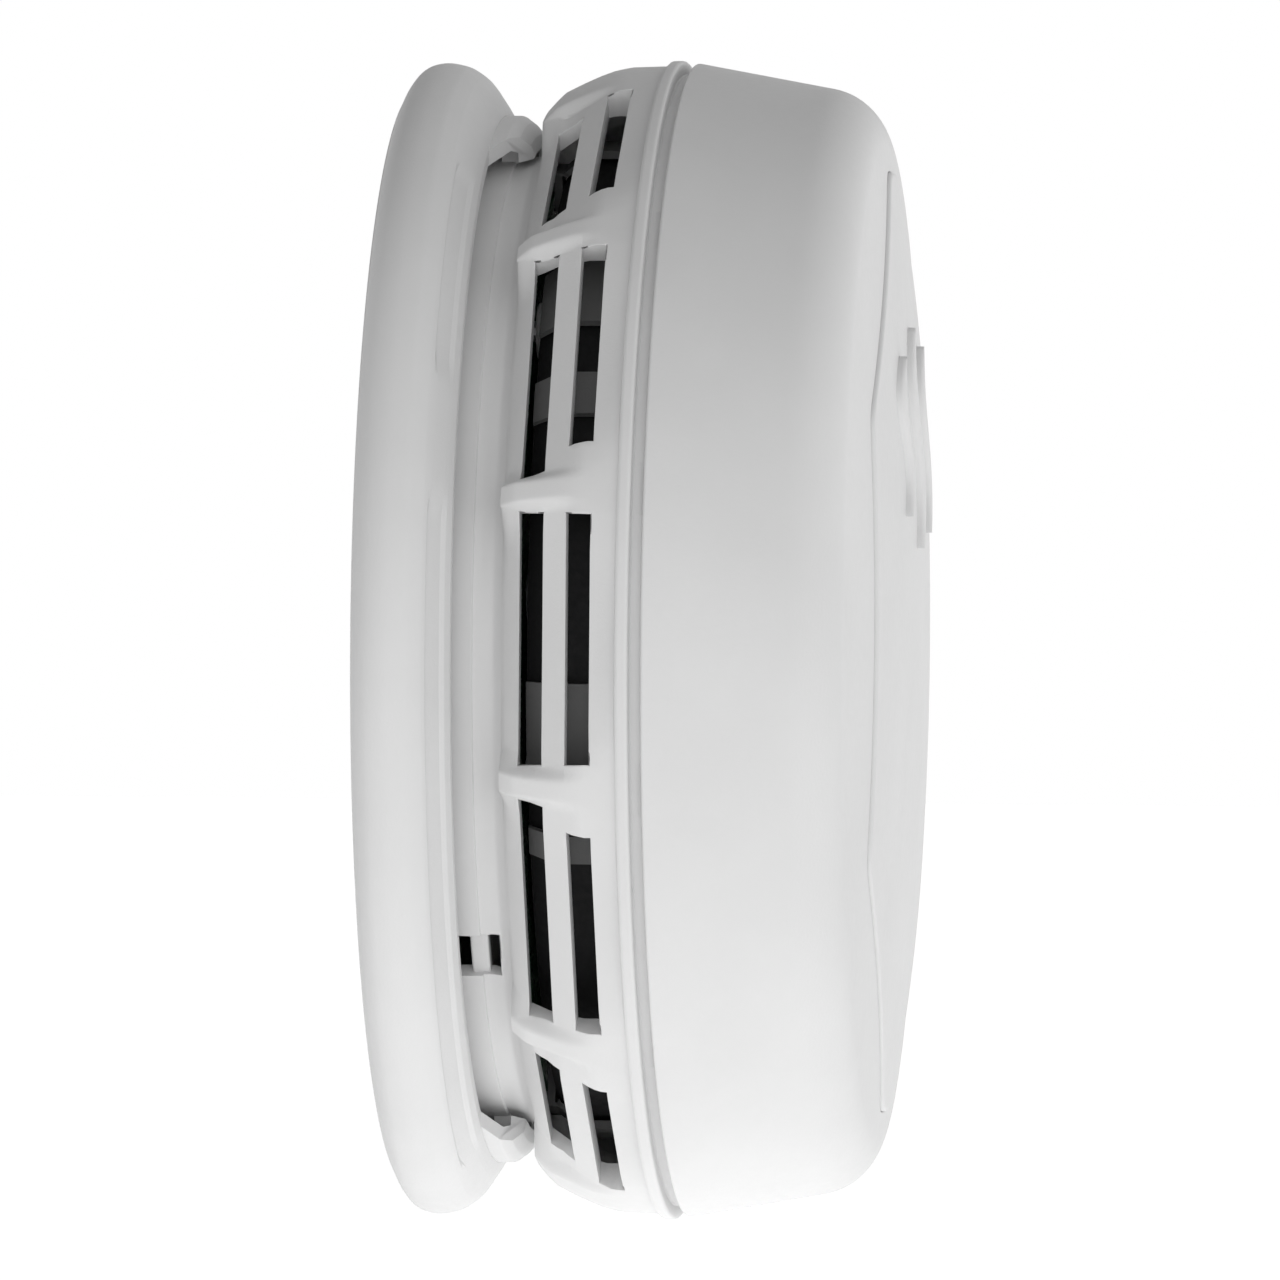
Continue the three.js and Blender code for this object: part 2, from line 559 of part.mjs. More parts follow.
place("mounting_bracket", mountingBracket(), whitePlastic);
place("rear_housing", rearHousing(), whitePlastic);
place("front_cover", frontCover(), whitePlastic);
place("test_button", testButton(), whitePlastic);
place("battery_drawer", batteryDrawer(), whitePlastic);
place("battery", battery(), blackPlastic);
place("battery_terminal_positive", batteryTerminal(1, 2.9), steel);
place("battery_terminal_negative", batteryTerminal(-1, 3.6), steel);
place("battery_contact_positive", batteryContact(1), brass);
place("battery_contact_negative", batteryContact(-1), brass);
place("circuit_board", circuitBoard(), fibreglass);
BOARD_SCREWS.forEach((at, i) => place(`board_screw_${i + 1}`, boardScrew(at), steel));
COVER_SCREWS.forEach((at, i) => place(`cover_screw_${i + 1}`, coverScrew(at), steel));
place("chamber_base", chamberBase(), blackPlastic);
place("chamber_cap", chamberCap(), blackPlastic);
place("insect_screen", insectScreen(), steel);
place("vent_screen", ventScreen(), blackPlastic);
place("screen_frame", screenFrame(), greyPlastic);
place("infrared_emitter", opticalPart(-1, 1.5), clear);
place("photodiode", opticalPart(1, 1.5), blackPlastic);
place("horn_housing", hornHousing(), greyPlastic);
place("piezo_plate", rod(HORN.x, HORN.y, 13.5, 24, 24.4, 32), brass);
place("piezo_ceramic", rod(HORN.x, HORN.y, 9.5, 24.7, 25, 32), ceramic);
for (const index of [0, 1, 2]) place(`horn_contact_${index + 1}`, hornContact(index), steel);
place("tact_switch", tactSwitch(), blackPlastic);
place("tact_plunger", rod(0, STEM_Y, 1.5, 21.7, 23.9, 14), whitePlastic);
place("status_led", statusLed(), clear);
place("light_pipe", lightPipe(), clear);
place("control_chip", controlChip(), blackPlastic);
place("main_capacitor", canCapacitor(-20, 40, 4.8, 17), sleeve);
place("filter_capacitor", canCapacitor(-44, 5, 3.15, 11), sleeve);
place("varistor", varistor(), ceramic);
place("inductor", inductor(), brass);
for (const index of [0, 1, 2]) place(`resistor_${index + 1}`, resistor(index), ceramic);
place("ratings_label", ratingsLabel(), greyPlastic);

export default alarm;
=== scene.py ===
"""Smoke alarm on its wall bracket: the visual model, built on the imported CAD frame.

The alarm's axis is the row's Y axis. A point is given by its distance from that axis (radius), its
angle from +X towards +Z, and its depth in front of the wall, in millimetres.
"""

import json
import math

import bmesh
import bpy
from mathutils import Matrix, Vector


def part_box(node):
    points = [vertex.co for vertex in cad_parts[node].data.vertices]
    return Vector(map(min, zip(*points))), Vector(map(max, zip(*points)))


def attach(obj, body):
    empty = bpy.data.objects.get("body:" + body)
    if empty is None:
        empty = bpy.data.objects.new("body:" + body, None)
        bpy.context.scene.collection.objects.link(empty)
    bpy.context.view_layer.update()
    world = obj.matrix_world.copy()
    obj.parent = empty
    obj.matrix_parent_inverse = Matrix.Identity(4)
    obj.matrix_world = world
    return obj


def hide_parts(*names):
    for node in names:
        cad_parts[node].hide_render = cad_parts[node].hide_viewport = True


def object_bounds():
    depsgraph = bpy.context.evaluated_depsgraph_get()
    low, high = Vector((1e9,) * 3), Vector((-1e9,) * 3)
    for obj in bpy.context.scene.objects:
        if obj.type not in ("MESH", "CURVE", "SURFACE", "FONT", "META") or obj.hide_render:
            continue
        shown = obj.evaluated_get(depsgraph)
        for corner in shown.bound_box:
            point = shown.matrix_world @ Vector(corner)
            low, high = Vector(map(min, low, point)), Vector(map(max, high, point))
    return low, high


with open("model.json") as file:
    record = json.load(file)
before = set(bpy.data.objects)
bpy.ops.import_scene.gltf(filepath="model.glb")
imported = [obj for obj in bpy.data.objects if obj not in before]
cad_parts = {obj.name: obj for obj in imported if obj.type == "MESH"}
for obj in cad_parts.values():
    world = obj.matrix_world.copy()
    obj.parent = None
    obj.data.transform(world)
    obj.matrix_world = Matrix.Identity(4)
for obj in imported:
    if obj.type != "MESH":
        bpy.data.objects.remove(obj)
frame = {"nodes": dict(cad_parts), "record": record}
cad_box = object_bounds()

MM = 0.001
FACETS = 12
FACET_ANGLE = math.tau / FACETS
# Vertices in a full turn.
ROUND = 36 * FACETS
WALL = 2.2
# Space round the battery drawer's face.
GAP = 0.35
SPIGOT_HEIGHT = 1.1
# How far the CAD's test button, with its relief, stands in front of the crowned cover.
BUTTON_PROUD = 1.2


# ---- sizes read from the frame ----
def reach(node, axis, high=True):
    """One coordinate of a CAD node's box, in millimetres."""
    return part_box(node)[1 if high else 0][axis] / MM


Y, Z = 1, 2
COVER_RADIUS = reach("front_cover", Z)
FLOOR = -reach("rear_housing", Y)
SPIGOT_TOP = -reach("rear_housing", Y, high=False)
COVER_EDGE = SPIGOT_TOP - SPIGOT_HEIGHT
FRONT = -reach("test_button", Y, high=False) - BUTTON_PROUD
BOARD_BACK = -reach("circuit_board", Y)
BOARD_FRONT = -reach("circuit_board", Y, high=False)

# ---- camera ----
CAMERA_DISTANCE = 1.9
CAMERA_AZIMUTH = math.radians(-84.5)
CAMERA_ROLL = math.radians(0.45)
VIEW_WIDTH = 0.157
VIEW_CENTRE = Vector((0, -0.0281, 0))


def add_camera():
    data = bpy.data.cameras.new("camera")
    camera = bpy.data.objects.new("camera", data)
    bpy.context.scene.collection.objects.link(camera)
    bpy.context.scene.camera = camera
    direction = Vector((math.sin(CAMERA_AZIMUTH), -math.cos(CAMERA_AZIMUTH), 0))
    camera.location = VIEW_CENTRE + CAMERA_DISTANCE * direction
    turn = direction.to_track_quat("Z", "Y").to_matrix() @ Matrix.Rotation(CAMERA_ROLL, 3, "Z")
    camera.rotation_euler = turn.to_euler()
    data.lens = data.sensor_width * CAMERA_DISTANCE / VIEW_WIDTH
    data.dof.use_dof = False


add_camera()


# ---- geometry helpers ----
def at(radius, angle, depth):
    return Vector((radius * math.cos(angle), -depth, radius * math.sin(angle))) * MM


def mix(a, b, part):
    return a + (b - a) * part


def smooth_step(low, high, value):
    part = min(max((value - low) / (high - low), 0), 1)
    return part * part * (3 - 2 * part)


def along(table, value):
    """Linear interpolation in a list of (position, value) pairs."""
    if value <= table[0][0]:
        return table[0][1]
    for (a, fa), (b, fb) in zip(table, table[1:]):
        if value <= b:
            return mix(fa, fb, (value - a) / (b - a))
    return table[-1][1]


def rounded(corners, closed=True, steps=4):
    """An outline of (radius, depth, fillet) corners. Each corner that has a fillet becomes an arc."""
    points = []
    count = len(corners)
    for i, (r, s, fillet) in enumerate(corners):
        here = Vector((r, s))
        if not fillet or (not closed and i in (0, count - 1)):
            points.append(here)
            continue
        back = (Vector(corners[i - 1][:2]) - here).normalized()
        ahead = (Vector(corners[(i + 1) % count][:2]) - here).normalized()
        half = math.acos(max(-1, min(1, back.dot(ahead)))) / 2
        bisector = (back + ahead).normalized()
        centre = here + bisector * (fillet / math.sin(half))
        start = here + back * (fillet / math.tan(half)) - centre
        end = here + ahead * (fillet / math.tan(half)) - centre
        turn = start.angle_signed(end)
        for k in range(steps + 1):
            points.append(centre + Matrix.Rotation(-turn * k / steps, 2) @ start)
    return [(p.x, p.y) for p in points]


def grid_mesh(bm, rows, close_rows=False, close_columns=True, keep=None):
    """Faces between rows of vertices. keep(row, column) says which faces are made."""
    count = len(rows)
    width = len(rows[0])
    for i in range(count if close_rows else count - 1):
        for j in range(width if close_columns else width - 1):
            if keep and not keep(i, j):
                continue
            k = (j + 1) % width
            quad = (rows[i][j], rows[i][k], rows[(i + 1) % count][k], rows[(i + 1) % count][j])
            corners = list(dict.fromkeys(quad))
            if len(corners) > 2:
                bm.faces.new(corners)


def full_turn(segments=ROUND):
    return [math.tau * j / segments for j in range(segments)]


def ring(bm, radius, depth, angles):
    if radius == 0:
        return [bm.verts.new(at(0, 0, depth))] * len(angles)
    return [bm.verts.new(at(radius, angle, depth)) for angle in angles]


def swept(bm, outline, middle, half_angle, steps=16):
    """A closed outline carried round part of a turn. half_angle may be a function of the depth."""
    rows = []
    for r, s in outline:
        half = half_angle(s) if callable(half_angle) else half_angle
        rows.append([bm.verts.new(at(r, middle + half * (2 * j / steps - 1), s)) for j in range(steps + 1)])
    grid_mesh(bm, rows, close_rows=True, close_columns=False)
    bm.faces.new([row[0] for row in rows])
    bm.faces.new([row[-1] for row in reversed(rows)])


POST_RADIUS = 3.5
POST_FOOT = 0.7
POST_EDGE = 0.2
SMALL_ROUND = 32


def axis_of(node):
    """The line through the middle of a CAD node, parallel to the alarm's axis, as a point at the wall."""
    low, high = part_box(node)
    return Vector(((low.x + high.x) / 2, 0, (low.z + high.z) / 2))


def post(bm, node, start, end, hole, hole_end):
    """A round post over a screw's node, from a wall at start to its free end, with a hole in that end."""
    axis = axis_of(node)
    lean = 1 if end > start else -1
    line = [(POST_RADIUS + POST_FOOT, start), (POST_RADIUS + POST_EDGE, start + POST_EDGE * lean),
            (POST_RADIUS, start + POST_FOOT * lean), (POST_RADIUS, end - POST_EDGE * lean),
            (POST_RADIUS - POST_EDGE, end), (hole + POST_EDGE, end), (hole, end - POST_EDGE * lean),
            (hole, hole_end)]
    rows = [[bm.verts.new(axis + at(r, angle, s)) for angle in full_turn(SMALL_ROUND)] for r, s in line]
    grid_mesh(bm, rows)
    bm.faces.new(rows[0])
    bm.faces.new(rows[-1])


def soften(bm, width, angle=40, segments=2):
    """A small round along every edge sharper than the angle."""
    bm.normal_update()
    sharp = [e for e in bm.edges if e.is_manifold and e.calc_face_angle(0) > math.radians(angle)]
    bmesh.ops.bevel(bm, geom=sharp, offset=width * MM, segments=segments, profile=0.5, affect="EDGES",
                    clamp_overlap=True)


def finished(bm, name, material, body, *nodes, smooth_angle=40, slot=None):
    bmesh.ops.recalc_face_normals(bm, faces=bm.faces)
    mesh = bpy.data.meshes.new(name)
    bm.to_mesh(mesh)
    bm.free()
    mesh.materials.append(material)
    mesh.shade_smooth()
    mesh.set_sharp_from_angle(angle=math.radians(smooth_angle))
    piece = bpy.data.objects.new(name, mesh)
    bpy.context.scene.collection.objects.link(piece)
    piece.modifiers.new("normals", "WEIGHTED_NORMAL").keep_sharp = True
    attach(piece, body)
    if nodes:
        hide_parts(*nodes)
    return piece


def cut(bm, cutter):
    """bm less the cutter's solid."""
    objects = []
    for source in (bm, cutter):
        bmesh.ops.recalc_face_normals(source, faces=source.faces)
        mesh = bpy.data.meshes.new("boolean")
        source.to_mesh(mesh)
        objects.append(bpy.data.objects.new("boolean", mesh))
        bpy.context.scene.collection.objects.link(objects[-1])
    boolean = objects[0].modifiers.new("cut", "BOOLEAN")
    boolean.object = objects[1]
    boolean.operation = "DIFFERENCE"
    boolean.solver = "EXACT"
    bpy.context.view_layer.update()
    result = objects[0].evaluated_get(bpy.context.evaluated_depsgraph_get())
    bm.clear()
    bm.from_mesh(result.to_mesh())
    for piece in objects:
        mesh = piece.data
        bpy.data.objects.remove(piece)
        bpy.data.meshes.remove(mesh)


def box_mesh(bm, low, high):
    """A block between two corners, in row millimetres."""
    middle = (Vector(low) + Vector(high)) / 2 * MM
    size = (Vector(high) - Vector(low)) * MM
    bmesh.ops.create_cube(bm, size=1, matrix=Matrix.Translation(middle) @ Matrix.Diagonal((*size, 1)))


# ---- materials ----
# Scales of the noise in tone, gloss, surface grain and broad waves, and the depths of grain and waves.
TONE_SCALE = 60
GLOSS_SCALE = 900
GRAIN_SCALE = 2600
WAVE_SCALE = 90
GRAIN_DEPTH = 0.00006
WAVE_DEPTH = 0.0003
WAVE_STRENGTH = 0.25
DUSTY_SHARE = 0.965
GLOSS_CHANGE = 0.06


def moulded_plastic(name, colour, roughness=0.5, grain=0.35):
    """Matte moulding: a fine eroded grain, broad unevenness, and faint dust in the tone."""
    material = bpy.data.materials.new(name)
    material.use_nodes = True
    nodes = material.node_tree.nodes
    links = material.node_tree.links
    shader = nodes["Principled BSDF"]
    place = nodes.new("ShaderNodeTexCoord")

    def noise(scale, detail):
        node = nodes.new("ShaderNodeTexNoise")
        node.inputs["Scale"].default_value = scale
        node.inputs["Detail"].default_value = detail
        links.new(place.outputs["Object"], node.inputs["Vector"])
        return node.outputs["Fac"]

    def remap(value, low, high):
        node = nodes.new("ShaderNodeMapRange")
        node.inputs["From Min"].default_value = 0.3
        node.inputs["From Max"].default_value = 0.7
        node.inputs["To Min"].default_value = low
        node.inputs["To Max"].default_value = high
        links.new(value, node.inputs["Value"])
        return node.outputs["Result"]

    tone = nodes.new("ShaderNodeMix")
    tone.data_type = "RGBA"
    tone.inputs["A"].default_value = (*[c * DUSTY_SHARE for c in colour], 1)
    tone.inputs["B"].default_value = (*colour, 1)
    links.new(remap(noise(TONE_SCALE, 4), 0, 1), tone.inputs["Factor"])
    links.new(tone.outputs["Result"], shader.inputs["Base Color"])
    gloss = remap(noise(GLOSS_SCALE, 2), roughness - GLOSS_CHANGE, roughness + GLOSS_CHANGE)
    links.new(gloss, shader.inputs["Roughness"])
    fine = nodes.new("ShaderNodeBump")
    fine.inputs["Strength"].default_value = grain
    fine.inputs["Distance"].default_value = GRAIN_DEPTH
    links.new(noise(GRAIN_SCALE, 3), fine.inputs["Height"])
    broad = nodes.new("ShaderNodeBump")
    broad.inputs["Strength"].default_value = WAVE_STRENGTH
    broad.inputs["Distance"].default_value = WAVE_DEPTH
    links.new(noise(WAVE_SCALE, 1), broad.inputs["Height"])
    links.new(broad.outputs["Normal"], fine.inputs["Normal"])
    links.new(fine.outputs["Normal"], shader.inputs["Normal"])
    return material


def metal(name, colour, roughness):
    material = moulded_plastic(name, colour, roughness, grain=0.15)
    material.node_tree.nodes["Principled BSDF"].inputs["Metallic"].default_value = 1
    return material


def see_through(name, colour):
    material = moulded_plastic(name, colour, 0.12, grain=0.03)
    material.node_tree.nodes["Principled BSDF"].inputs["Transmission Weight"].default_value = 0.9
    return material


WHITE = moulded_plastic("white_plastic", (0.75, 0.75, 0.75))
# The vent screen uses this black as painted shade: it darkens the view through the slots.
BLACK = moulded_plastic("black_plastic", (0.009, 0.009, 0.01), 0.75)
# The screen frame uses this grey as painted shade: its posts stand for white inner walls in shade.
GREY = moulded_plastic("grey_plastic", (0.17, 0.17, 0.17), 0.6)
BOARD = moulded_plastic("solder_mask", (0.035, 0.14, 0.06), 0.3, grain=0.1)
CERAMIC = moulded_plastic("ceramic", (0.72, 0.68, 0.58), 0.6)
SLEEVE = moulded_plastic("capacitor_sleeve", (0.25, 0.27, 0.29), 0.35, grain=0.05)
BATTERY_SLEEVE = moulded_plastic("battery_sleeve", (0.03, 0.03, 0.035), 0.3, grain=0.05)
STEEL = metal("zinc_plated_steel", (0.6, 0.6, 0.62), 0.35)
BRASS = metal("brass", (0.62, 0.44, 0.18), 0.3)
CLEAR = see_through("clear_plastic", (0.85, 0.9, 0.92))
SLOT_MATERIALS = {
    "white_plastic": WHITE, "black_plastic": BLACK, "grey_plastic": GREY, "fibreglass": BOARD,
    "ceramic": CERAMIC, "capacitor_sleeve": SLEEVE, "battery_sleeve": BATTERY_SLEEVE, "steel": STEEL,
    "brass": BRASS, "clear_plastic": CLEAR,
}


CAD_EDGE_ROUND = 0.12
CAD_EDGE_ANGLE = 50


def finish_cad_nodes():
    """Each CAD node that stays gets its slot's material and a small round on its edges."""
    for part in frame["record"]["subparts"]:
        node = frame["nodes"][part["node"]]
        for socket in node.material_slots:
            socket.material = SLOT_MATERIALS[part["material_slot"]]
        edge = node.modifiers.new("edges", "BEVEL")
        edge.width = CAD_EDGE_ROUND * MM
        edge.segments = 2
        edge.limit_method = "ANGLE"
        edge.angle_limit = math.radians(CAD_EDGE_ANGLE)


finish_cad_nodes()

# ---- cover outline, worked out as in the CAD: a tapered skirt, a fillet and a crowned front ----
COVER_TAPER = math.radians(10.4)
COVER_FILLET = 8
DOME_RADIUS = 500
DOME_CENTRE = FRONT - DOME_RADIUS


def dome(radius, offset=0.0):
    return DOME_CENTRE + math.sqrt((DOME_RADIUS + offset) ** 2 - radius ** 2)


def fillet_centre():
    across, up = math.cos(COVER_TAPER), math.sin(COVER_TAPER)
    skirt = COVER_RADIUS * across + COVER_EDGE * up - COVER_FILLET
    level = math.sqrt((DOME_RADIUS - COVER_FILLET) ** 2 - (skirt - DOME_CENTRE * up) ** 2)
    level += DOME_CENTRE * across
    return Vector((skirt * across - level * up, skirt * up + level * across))


FILLET_CENTRE = fillet_centre()
DOME_ANGLE = math.atan2(FILLET_CENTRE.y - DOME_CENTRE, FILLET_CENTRE.x)


def cover_line(inset, steps=14):
    """Fillet points from the skirt's end of it to the front's, moved in by inset."""
    points = []
    for k in range(steps + 1):
        angle = mix(COVER_TAPER, DOME_ANGLE, k / steps)
        arm = Vector((math.cos(angle), math.sin(angle))) * (COVER_FILLET - inset)
        points.append(FILLET_CENTRE + arm)
    return [(p.x, p.y) for p in points]


def cover_radius_at(depth):
    """Radius of the cover's outside at a depth."""
    start = cover_line(0)[0]
    if depth <= start[1]:
        return mix(COVER_RADIUS, start[0], (depth - COVER_EDGE) / (start[1] - COVER_EDGE))
    rise = min(depth - FILLET_CENTRE.y, COVER_FILLET)
    return FILLET_CENTRE.x + math.sqrt(COVER_FILLET ** 2 - rise ** 2)


# ---- the long six-sided panel on the front, with its two ends cut short ----
PANEL_HALF_WIDTH = 40
PANEL_HALF_HEIGHT = 57.5
# Half the width of its flat tip, and half the height of its upright sides.
PANEL_TIP = 5
PANEL_SHOULDER = 27
PANEL_GAP = 0.08
# A higher power gives the panel sharper corners.
PANEL_SHARPNESS = 60


def panel_radius(angle, outset=0.0):
    """Distance from the axis to the panel's edge at an angle, with rounded corners."""
    x, z = abs(math.cos(angle)), abs(math.sin(angle))
    slope = Vector((PANEL_HALF_HEIGHT - PANEL_SHOULDER, PANEL_HALF_WIDTH - PANEL_TIP)).normalized()
    slope_reach = slope.dot((PANEL_HALF_WIDTH, PANEL_SHOULDER))
    sides = [(x, PANEL_HALF_WIDTH), (z, PANEL_HALF_HEIGHT), (slope.dot((x, z)), slope_reach)]
    total = sum((lean / (limit + outset)) ** PANEL_SHARPNESS for lean, limit in sides if lean > 0)
    return total ** (-1 / PANEL_SHARPNESS)


def front_ring(bm, outset, offset, angles, part=1.0, outer=0.0):
    """A ring of vertices on the crowned front, on the panel's outline or part of the way to a circle."""
    verts = []
    for angle in angles:
        radius = panel_radius(angle, outset)
        radius = mix(outer, radius, part) if outer else radius * part
        verts.append(bm.verts.new(at(radius, angle, dome(radius, offset))))
    return verts


# ---- front cover ----
# The drawer's opening is cut between these distances along X.
DRAWER_CUT = (50, 80)
DRAWER_CUT_CORNER = 0.8
LIGHT_HOLE_RADIUS = 1.9
LIGHT_HOLE_BACK = 50
COVER_SCREW_HOLE = 1.7
COVER_SCREW_HOLE_END = 34
# Rows over the edge round the panel: distance out from the gap, and drop from the crowned front.
PANEL_RIM = ((0.3, 0), (0.13, 0.03), (0.03, 0.1), (0, 0.25), (0, WALL))


def skirt_at(part):
    """(radius, depth) on the skirt, from the cover's edge to the start of the fillet."""
    end = cover_line(0)[0]
    return mix(COVER_RADIUS, end[0], part), mix(COVER_EDGE, end[1], part)


def cover_openings():
    """The battery drawer's opening and the light pipe's hole, as solids to cut with."""
    bm = bmesh.new()
    low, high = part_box("battery_drawer")
    start, end = DRAWER_CUT
    box_mesh(bm, (start, low.y / MM - GAP, low.z / MM - GAP), (end, high.y / MM + GAP, high.z / MM + GAP))
    across = [e for e in bm.edges if abs(e.verts[0].co.x - e.verts[1].co.x) > 0.01]
    bmesh.ops.bevel(bm, geom=across, offset=DRAWER_CUT_CORNER * MM, segments=5, profile=0.5, affect="EDGES")
    axis = axis_of("light_pipe")
    angles = full_turn(SMALL_ROUND)
    ends = []
    for depth in (LIGHT_HOLE_BACK, FRONT + 2):
        ends.append([bm.verts.new(axis + at(LIGHT_HOLE_RADIUS, angle, depth)) for angle in angles])
    grid_mesh(bm, ends)
    bm.faces.new(ends[0])
    bm.faces.new(ends[1])
    return bm


def front_cover():
    bm = bmesh.new()
    angles = full_turn()
    outside = cover_line(0)
    inside = cover_line(WALL)
    edge = rounded([(COVER_RADIUS - WALL, COVER_EDGE + 4, 0), (COVER_RADIUS - WALL, COVER_EDGE, 0.3),
                    (COVER_RADIUS, COVER_EDGE, 0.3), (*skirt_at(0.2), 0)], closed=False)
    skirt = [skirt_at(part) for part in (0.4, 0.6, 0.8)]
    rows = [ring(bm, r, s, angles) for r, s in edge + skirt + outside]
    rows += [front_ring(bm, PANEL_GAP, 0, angles, part, outside[-1][0]) for part in (0.25, 0.5, 0.75)]
    for outset, drop in PANEL_RIM:
        rows.append(front_ring(bm, PANEL_GAP + outset, -drop, angles))
    rows += [front_ring(bm, PANEL_GAP, -WALL, angles, part, inside[-1][0]) for part in (0.6, 0.3)]
    rows += [ring(bm, r, s, angles) for r, s in reversed(inside)]
    grid_mesh(bm, rows, close_rows=True)
    openings = cover_openings()
    cut(bm, openings)
    openings.free()
    for screw in ("cover_screw_1", "cover_screw_2", "cover_screw_3"):
        start = dome(axis_of(screw).length / MM, -WALL) + 0.2
        post(bm, screw, start, BOARD_FRONT + 0.5, COVER_SCREW_HOLE, COVER_SCREW_HOLE_END)
    return finished(bm, "front_cover_shell", WHITE, "alarm", "front_cover", smooth_angle=35,
                    slot="white_plastic")


# ---- test button: the raised panel ----
PANEL_RAISE = 0.45
# Where the button's back lies from the crowned front, and the radius of the round on its edge.
BUTTON_BACK = -3
PANEL_EDGE = 0.5
# Rows over that edge: distance in from the side, and drop from the top.
PANEL_EDGE_ROWS = ((0.03, 0.3), (0.12, 0.14), (0.28, 0.04), (PANEL_EDGE, 0))
STEM_RADIUS = 2.2
STEM_GAP = 0.3


def test_button():
    bm = bmesh.new()
    angles = full_turn()
    rows = [front_ring(bm, 0, BUTTON_BACK, angles), front_ring(bm, 0, PANEL_RAISE - PANEL_EDGE, angles)]
    for inset, drop in PANEL_EDGE_ROWS:
        rows.append(front_ring(bm, -inset, PANEL_RAISE - drop, angles))
    for part in (0.97, 0.9, 0.75, 0.6, 0.45, 0.3, 0.15):
        rows.append(front_ring(bm, -PANEL_EDGE, PANEL_RAISE, angles, part))
    middle = bm.verts.new(at(0, 0, dome(0, PANEL_RAISE)))
    rows.append([middle] * ROUND)
    grid_mesh(bm, rows)
    under = [front_ring(bm, 0, BUTTON_BACK, angles, part) for part in (0.98, 0.5)]
    grid_mesh(bm, [rows[0], *under, [bm.verts.new(at(0, 0, dome(0, BUTTON_BACK)))] * ROUND])
    stem_z = axis_of("tact_plunger").z / MM
    stem_start = dome(stem_z, BUTTON_BACK)
    stem_end = -reach("tact_plunger", Y, high=False) + STEM_GAP
    stem_middle = Matrix.Translation((0, -(stem_start + stem_end) / 2 * MM, stem_z * MM))
    bmesh.ops.create_cone(bm, cap_ends=True, segments=SMALL_ROUND, radius1=STEM_RADIUS * MM,
                          radius2=STEM_RADIUS * MM, depth=(stem_start - stem_end) * MM,
                          matrix=stem_middle @ Matrix.Rotation(math.pi / 2, 4, "X"))
    return finished(bm, "test_button_panel", WHITE, "button", "test_button", smooth_angle=35,
                    slot="white_plastic")


# ---- emblem on the panel: three rising wisps ----
EMBLEM_MIDDLE = 25
EMBLEM_HEIGHT = 27
EMBLEM_RAISE = 0.95
# How far a wisp's foot is sunk in the panel.
EMBLEM_FOOT = 0.1
# Place across the panel and share of the full height of each wisp.
WISPS = ((-14, 0.72), (0, 1), (14, 0.85))
WISP_STEPS = 40
# Half the width at the tips, what the middle adds to it, and how far the wisp sways to each side.
WISP_TIP = 0.5
WISP_SWELL = 2.3
WISP_SWAY = 3.2


def emblem():
    bm = bmesh.new()
    section = [(math.cos(math.pi * k / 8), math.sin(math.pi * k / 8) ** 0.6) for k in range(9)]
    for offset, length in WISPS:
        rows = []
        for i in range(WISP_STEPS + 1):
            part = i / WISP_STEPS
            half_width = WISP_TIP + WISP_SWELL * math.sin(math.pi * part) ** 0.7
            x = offset + WISP_SWAY * math.sin(math.tau * part)
            z = EMBLEM_MIDDLE + EMBLEM_HEIGHT * length * (part - 0.5)
            row = []
            for across, up in section:
                place_x = x + across * half_width
                depth = dome(math.hypot(place_x, z), PANEL_RAISE - EMBLEM_FOOT)
                depth += up * (EMBLEM_RAISE + EMBLEM_FOOT)
                row.append(bm.verts.new(Vector((place_x, -depth, z)) * MM))
            rows.append(row)
        grid_mesh(bm, rows, close_columns=False)
        grid_mesh(bm, [[row[0] for row in rows], [row[-1] for row in rows]], close_columns=False)
        bm.faces.new(rows[0])
        bm.faces.new(list(reversed(rows[-1])))
    return finished(bm, "emblem_wisps", WHITE, "button", smooth_angle=50, slot="white_plastic")


# ---- walls with holes in them ----
def pierced(bm, outer, inner, removed):
    """Two matching grids of vertices, joined round every removed (row, column) cell.

    Returns the edges round the holes on the outer grid.
    """
    width = len(outer[0])
    for rows in (outer, inner):
        grid_mesh(bm, rows, keep=lambda i, j: (i, j) not in removed)
    rims = []
    for i, j in removed:
        k = (j + 1) % width
        sides = {(i - 1, j): ((i, j), (i, k)), (i + 1, j): ((i + 1, j), (i + 1, k)),
                 (i, (j - 1) % width): ((i, j), (i + 1, j)), (i, k): ((i, k), (i + 1, k))}
        for neighbour, ((a, b), (c, d)) in sides.items():
            if neighbour in removed:
                continue
            bm.faces.new((outer[a][b], outer[c][d], inner[c][d], inner[a][b]))
            rims.append(bm.edges.get((outer[a][b], outer[c][d])))
    return rims


def soften_edges(bm, edges, width):
    bmesh.ops.bevel(bm, geom=edges, offset=width * MM, segments=2, profile=0.5, affect="EDGES",
                    clamp_overlap=True)


def fan(bm, row, depth):
    """Closes a row of vertices to a point on the axis."""
    grid_mesh(bm, [row, [bm.verts.new(at(0, 0, depth))] * len(row)])


